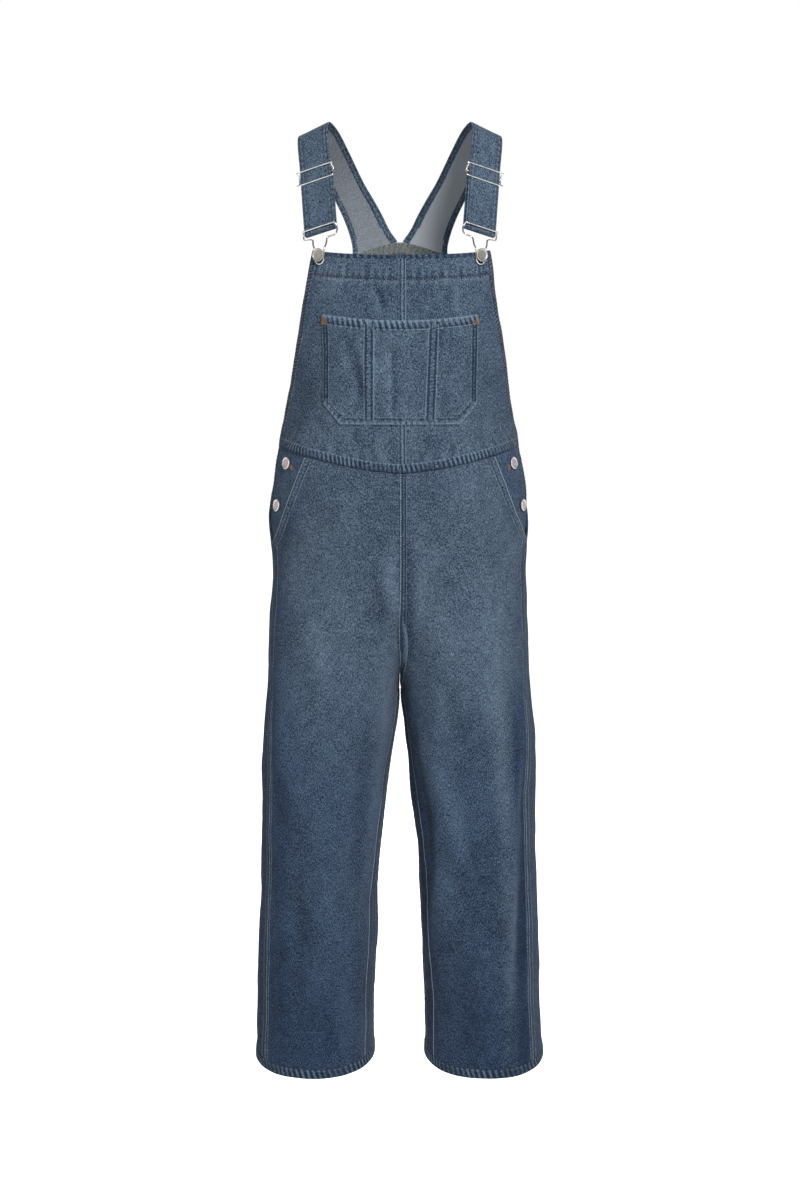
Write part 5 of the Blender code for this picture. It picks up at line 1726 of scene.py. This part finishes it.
def hook_route(front):
    side = front.side
    roller = front.place(0.0, front.length, -FOLD_RADIUS)
    x, drop = side * BIB_BUTTON[0], BIB_BUTTON[1]
    out = bib_normal(x, drop)
    flat = unit(np.cross((0.0, 0.0, 1.0), out))
    if np.dot(flat, front.across) < 0:
        flat = -flat
    meet = bib_surface(x, drop) + out * WIRE_OFF_BIB + np.array((0.0, 0.0, WIRE_ABOVE))
    lift = FOLD_RADIUS + STRAP_PLY / 2 + HOOK_OFF_STRAP + WIRE_RADIUS

    def place(across, along, below, rise):
        share = min(max(along, 0.0), 1.0)
        sideways = unit(front.across * (1 - share) + flat * share)
        point = roller + (meet - roller) * along + sideways * (across / 1000)
        return point + front.out * (rise * lift) - np.array((0.0, 0.0, below / 1000))

    half = [place(*row) for row in WIRE]
    other = [place(-across, along, below, rise) for across, along, below, rise in WIRE]
    lowest = WIRE[-1][2]
    bottom = [place(WIRE_END_RADIUS * math.cos(turn), 1.0, lowest + WIRE_END_RADIUS * math.sin(turn), 0.0)
              for turn in np.linspace(0.0, math.pi, 7)[1:-1]]
    return half + bottom + other[::-1]


def make_metal():
    wire = finish_of("wire")
    for side in (-1, 1):
        front, label = Front(side), hand(side)
        pieces = {}
        for name, corners in (("slider_", slider_route(front)), ("hook_", hook_route(front))):
            route = closed_route(corners, 5)
            pieces[name] = tube(name + label, route, WIRE_RADIUS, 12, wire, front.out, True)
        for name, down, reach in (("slider_bar_", 0.0, SLIDER_HALF - WIRE_RADIUS - GAP),
                                  ("hook_bar_", front.length, HOOK_HALF - WIRE_RADIUS - 2 * GAP)):
            route = [front.place(across, down, -FOLD_RADIUS) for across in np.linspace(-reach, reach, 12)]
            pieces[name] = tube(name + label, route, BAR_RADIUS, 16, wire, front.down, False)
        for name, piece in pieces.items():
            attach(piece, "root")
            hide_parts(name + label)


# Outline of a shank button: radius and height, in parts of the button's radius.
BUTTON = (
    (0.30, 0.98), (0.60, 0.99), (0.84, 1.00), (0.93, 1.02), (0.985, 1.06), (1.00, 1.12), (1.00, 1.22),
    (0.985, 1.27), (0.945, 1.305), (0.90, 1.31), (0.86, 1.295), (0.835, 1.26), (0.80, 1.235), (0.60, 1.232),
    (0.40, 1.236), (0.20, 1.24),
)
BUTTON_SIDES = 48
BUTTONHOLE_REACH = 0.0122 # from a button's middle to the bartack at its buttonhole's end


def add_button(name, base, axis, radius, neck, finish):
    """A neck that stands on the cloth, and a plain disc with a rolled rim."""
    first = unit(np.cross(axis, (0.0, 0.0, 1.0)))
    second = np.cross(axis, first)
    outline = [(radius * 0.28, 0.0), (radius * 0.28, neck - radius * 0.06)]
    outline += [(radius * ring, neck + radius * (height - 1.0)) for ring, height in BUTTON]
    turns = 2 * math.pi * np.arange(BUTTON_SIDES) / BUTTON_SIDES
    circle = first * np.cos(turns)[:, None] + second * np.sin(turns)[:, None]
    points = np.concatenate([base + axis * height + circle * ring for ring, height in outline])
    faces = tube_faces(len(outline), BUTTON_SIDES, False)
    made = make_mesh(name, points, faces, [finish], creased=60)
    work = bmesh.new()
    work.from_mesh(made.data)
    bmesh.ops.recalc_face_normals(work, faces=work.faces[:])
    work.to_mesh(made.data)
    work.free()
    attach(made, "root")
    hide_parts(name)
    return made


def make_buttons():
    finish, bars = finish_of("button"), []
    for side in (-1, 1):
        x, drop = side * BIB_BUTTON[0], BIB_BUTTON[1]
        out = bib_normal(x, drop)
        add_button("bib_button_" + hand(side), bib_surface(x, drop) + out * GAP, out,
                   BIB_BUTTON_RADIUS * 0.94, BIB_BUTTON_NECK, finish)
        for label, (distance, drop) in SIDE_BUTTONS.items():
            angle = edge_angle(distance, TRUNK.read(hand(side), drop))
            nominal = drop - (waist_drop(1, angle) - WAIST_SIDE) * waist_fade(drop)
            skin = Skin(lambda u, v: hip_point(side, u, v), (), (0.01, 0.001), HIP_SAMPLE)
            place, out = skin.base(np.array(angle), np.array(nominal))
            lift = facing_lift(side, angle, nominal)
            add_button("side_button_" + label + "_" + hand(side), place + out * (lift + GAP), out,
                       SIDE_BUTTON_RADIUS, SIDE_BUTTON_NECK, finish_of("side button"))
            if label == "upper":
                slant = unit(np.cross(out, np.cross((-side * 0.80, -0.80, -0.62), out)))
                end = place + out * (lift + 0.0007) + slant * BUTTONHOLE_REACH
                bars += bartack(end, slant, out, 0.0078, 0.0050)
    sew("buttonhole_stitches", bars, finish_of("ochre"), 0.0018)


# ---------------------------------------------------------------- stage
CAMERA_PLACE = (0.0, -2.45, -0.33)
CAMERA_DOWN = 7.76
LENS = 51.1
FLOOR_DROP = 1.62
FLOOR_RADIUS = 14.0
FILL = 0.30
# Soft lights.  Columns: name, place, target, power, size, colour.
LIGHTS = (
    ("key", (1.15, -3.2, 1.2), (0.0, 0.0, -0.60), 116.0, 0.9, (1.0, 1.0, 1.0)),
    ("fill_left", (-2.8, -2.2, 0.9), (0.0, 0.0, -0.40), 16.0, 2.2, (0.96, 0.98, 1.0)),
    ("back", (0.0, 2.8, 1.2), (0.0, 0.0, -0.60), 85.0, 2.0, (1.0, 1.0, 1.0)),
)


def make_stage():
    """A white floor, a white surround, soft lights and the camera."""
    bpy.ops.mesh.primitive_circle_add(vertices=96, radius=FLOOR_RADIUS, fill_type="NGON",
                                      location=(0, 0, -FLOOR_DROP))
    floor = bpy.context.object
    floor.name = "floor"
    floor.data.materials.append(plain_white("pale_floor"))
    floor.visible_diffuse = False

    world = bpy.data.worlds.new("white_room")
    world.use_nodes = True
    bpy.context.scene.world = world
    nodes, links = world.node_tree.nodes, world.node_tree.links
    nodes.clear()
    output = nodes.new("ShaderNodeOutputWorld")
    seen, filled = nodes.new("ShaderNodeBackground"), nodes.new("ShaderNodeBackground")
    seen.inputs["Strength"].default_value = 1.0
    filled.inputs["Color"].default_value = (0.95, 0.98, 1.0, 1.0)
    filled.inputs["Strength"].default_value = FILL
    rays, chosen = nodes.new("ShaderNodeLightPath"), nodes.new("ShaderNodeMixShader")
    seen.inputs["Color"].default_value = (1.0, 1.0, 1.0, 1.0)
    links.new(rays.outputs["Is Camera Ray"], chosen.inputs[0])
    links.new(filled.outputs[0], chosen.inputs[1])
    links.new(seen.outputs[0], chosen.inputs[2])
    links.new(chosen.outputs[0], output.inputs["Surface"])

    for name, place, target, power, size, colour in LIGHTS:
        lamp = bpy.data.lights.new(name, "AREA")
        lamp.energy, lamp.size, lamp.color = power, size, colour
        holder = bpy.data.objects.new(name, lamp)
        holder.location = place
        holder.rotation_euler = (Vector(target) - Vector(place)).to_track_quat("-Z", "Y").to_euler()
        bpy.context.scene.collection.objects.link(holder)

    lens = bpy.data.cameras.new("camera")
    lens.lens, lens.sensor_width, lens.sensor_fit = LENS, 36.0, "AUTO"
    camera = bpy.data.objects.new("camera", lens)
    camera.location = CAMERA_PLACE
    camera.rotation_euler = (math.radians(90.0 - CAMERA_DOWN), 0.0, 0.0)
    bpy.context.scene.collection.objects.link(camera)
    bpy.context.scene.camera = camera
    bpy.context.scene.view_settings.view_transform = "Standard"


# ---------------------------------------------------------------- operators and panel
class DUNGAREES_OT_trousers(bpy.types.Operator):
    """Make the front and back legs with their hems, seams and stitches"""

    bl_idname = "dungarees.trousers"
    bl_label = "Trousers"

    def execute(self, context):
        make_trousers()
        return {"FINISHED"}


class DUNGAREES_OT_hips(bpy.types.Operator):
    """Make the hip facings, the button stands and the slant pockets' edges"""

    bl_idname = "dungarees.hips"
    bl_label = "Hips"

    def execute(self, context):
        make_hips()
        return {"FINISHED"}


class DUNGAREES_OT_bibs(bpy.types.Operator):
    """Make both halves of the bib with their bands"""

    bl_idname = "dungarees.bibs"
    bl_label = "Bib"

    def execute(self, context):
        make_bibs()
        return {"FINISHED"}


class DUNGAREES_OT_bib_pocket(bpy.types.Operator):
    """Make the three parts of the bib pocket"""

    bl_idname = "dungarees.bib_pocket"
    bl_label = "Bib pocket"

    def execute(self, context):
        make_bib_pocket()
        return {"FINISHED"}


class DUNGAREES_OT_back_bibs(bpy.types.Operator):
    """Make both halves of the back bib with their bands"""

    bl_idname = "dungarees.back_bibs"
    bl_label = "Back bib"

    def execute(self, context):
        make_back_bibs()
        return {"FINISHED"}


class DUNGAREES_OT_straps(bpy.types.Operator):
    """Make the two shoulder straps"""

    bl_idname = "dungarees.straps"
    bl_label = "Straps"

    def execute(self, context):
        make_straps()
        return {"FINISHED"}


class DUNGAREES_OT_metal(bpy.types.Operator):
    """Make the sliders and the wire hooks"""

    bl_idname = "dungarees.metal"
    bl_label = "Sliders and hooks"

    def execute(self, context):
        make_metal()
        return {"FINISHED"}


class DUNGAREES_OT_buttons(bpy.types.Operator):
    """Make the bib buttons and the side buttons"""

    bl_idname = "dungarees.buttons"
    bl_label = "Buttons"

    def execute(self, context):
        make_buttons()
        return {"FINISHED"}


class DUNGAREES_OT_stage(bpy.types.Operator):
    """Make the floor, the lights and the camera"""

    bl_idname = "dungarees.stage"
    bl_label = "Stage"

    def execute(self, context):
        make_stage()
        return {"FINISHED"}


OPERATORS = (
    DUNGAREES_OT_stage,
    DUNGAREES_OT_trousers,
    DUNGAREES_OT_hips,
    DUNGAREES_OT_bibs,
    DUNGAREES_OT_bib_pocket,
    DUNGAREES_OT_back_bibs,
    DUNGAREES_OT_straps,
    DUNGAREES_OT_metal,
    DUNGAREES_OT_buttons,
)


class DUNGAREES_PT_panel(bpy.types.Panel):
    """Sizes, colours and pieces of the dungarees"""

    bl_idname = "DUNGAREES_PT_panel"
    bl_label = "Dungarees"
    bl_space_type = "VIEW_3D"
    bl_region_type = "UI"
    bl_category = "Dungarees"

    def draw(self, context):
        for group in (context.scene.dungarees_sizes, context.scene.dungarees_colours):
            for name in group.__annotations__:
                self.layout.prop(group, name)
        for operator in OPERATORS:
            self.layout.operator(operator.bl_idname)


CLASSES = (DungareesSizes, DungareesColours, *OPERATORS, DUNGAREES_PT_panel)


def register():
    for each in CLASSES:
        bpy.utils.register_class(each)
    bpy.types.Scene.dungarees_sizes = bpy.props.PointerProperty(type=DungareesSizes)
    bpy.types.Scene.dungarees_colours = bpy.props.PointerProperty(type=DungareesColours)


def unregister():
    del bpy.types.Scene.dungarees_colours
    del bpy.types.Scene.dungarees_sizes
    for each in reversed(CLASSES):
        bpy.utils.unregister_class(each)


def main():
    register()
    for operator in OPERATORS:
        getattr(bpy.ops.dungarees, operator.bl_idname.split(".")[1])()


if __name__ == "__main__":
    main()
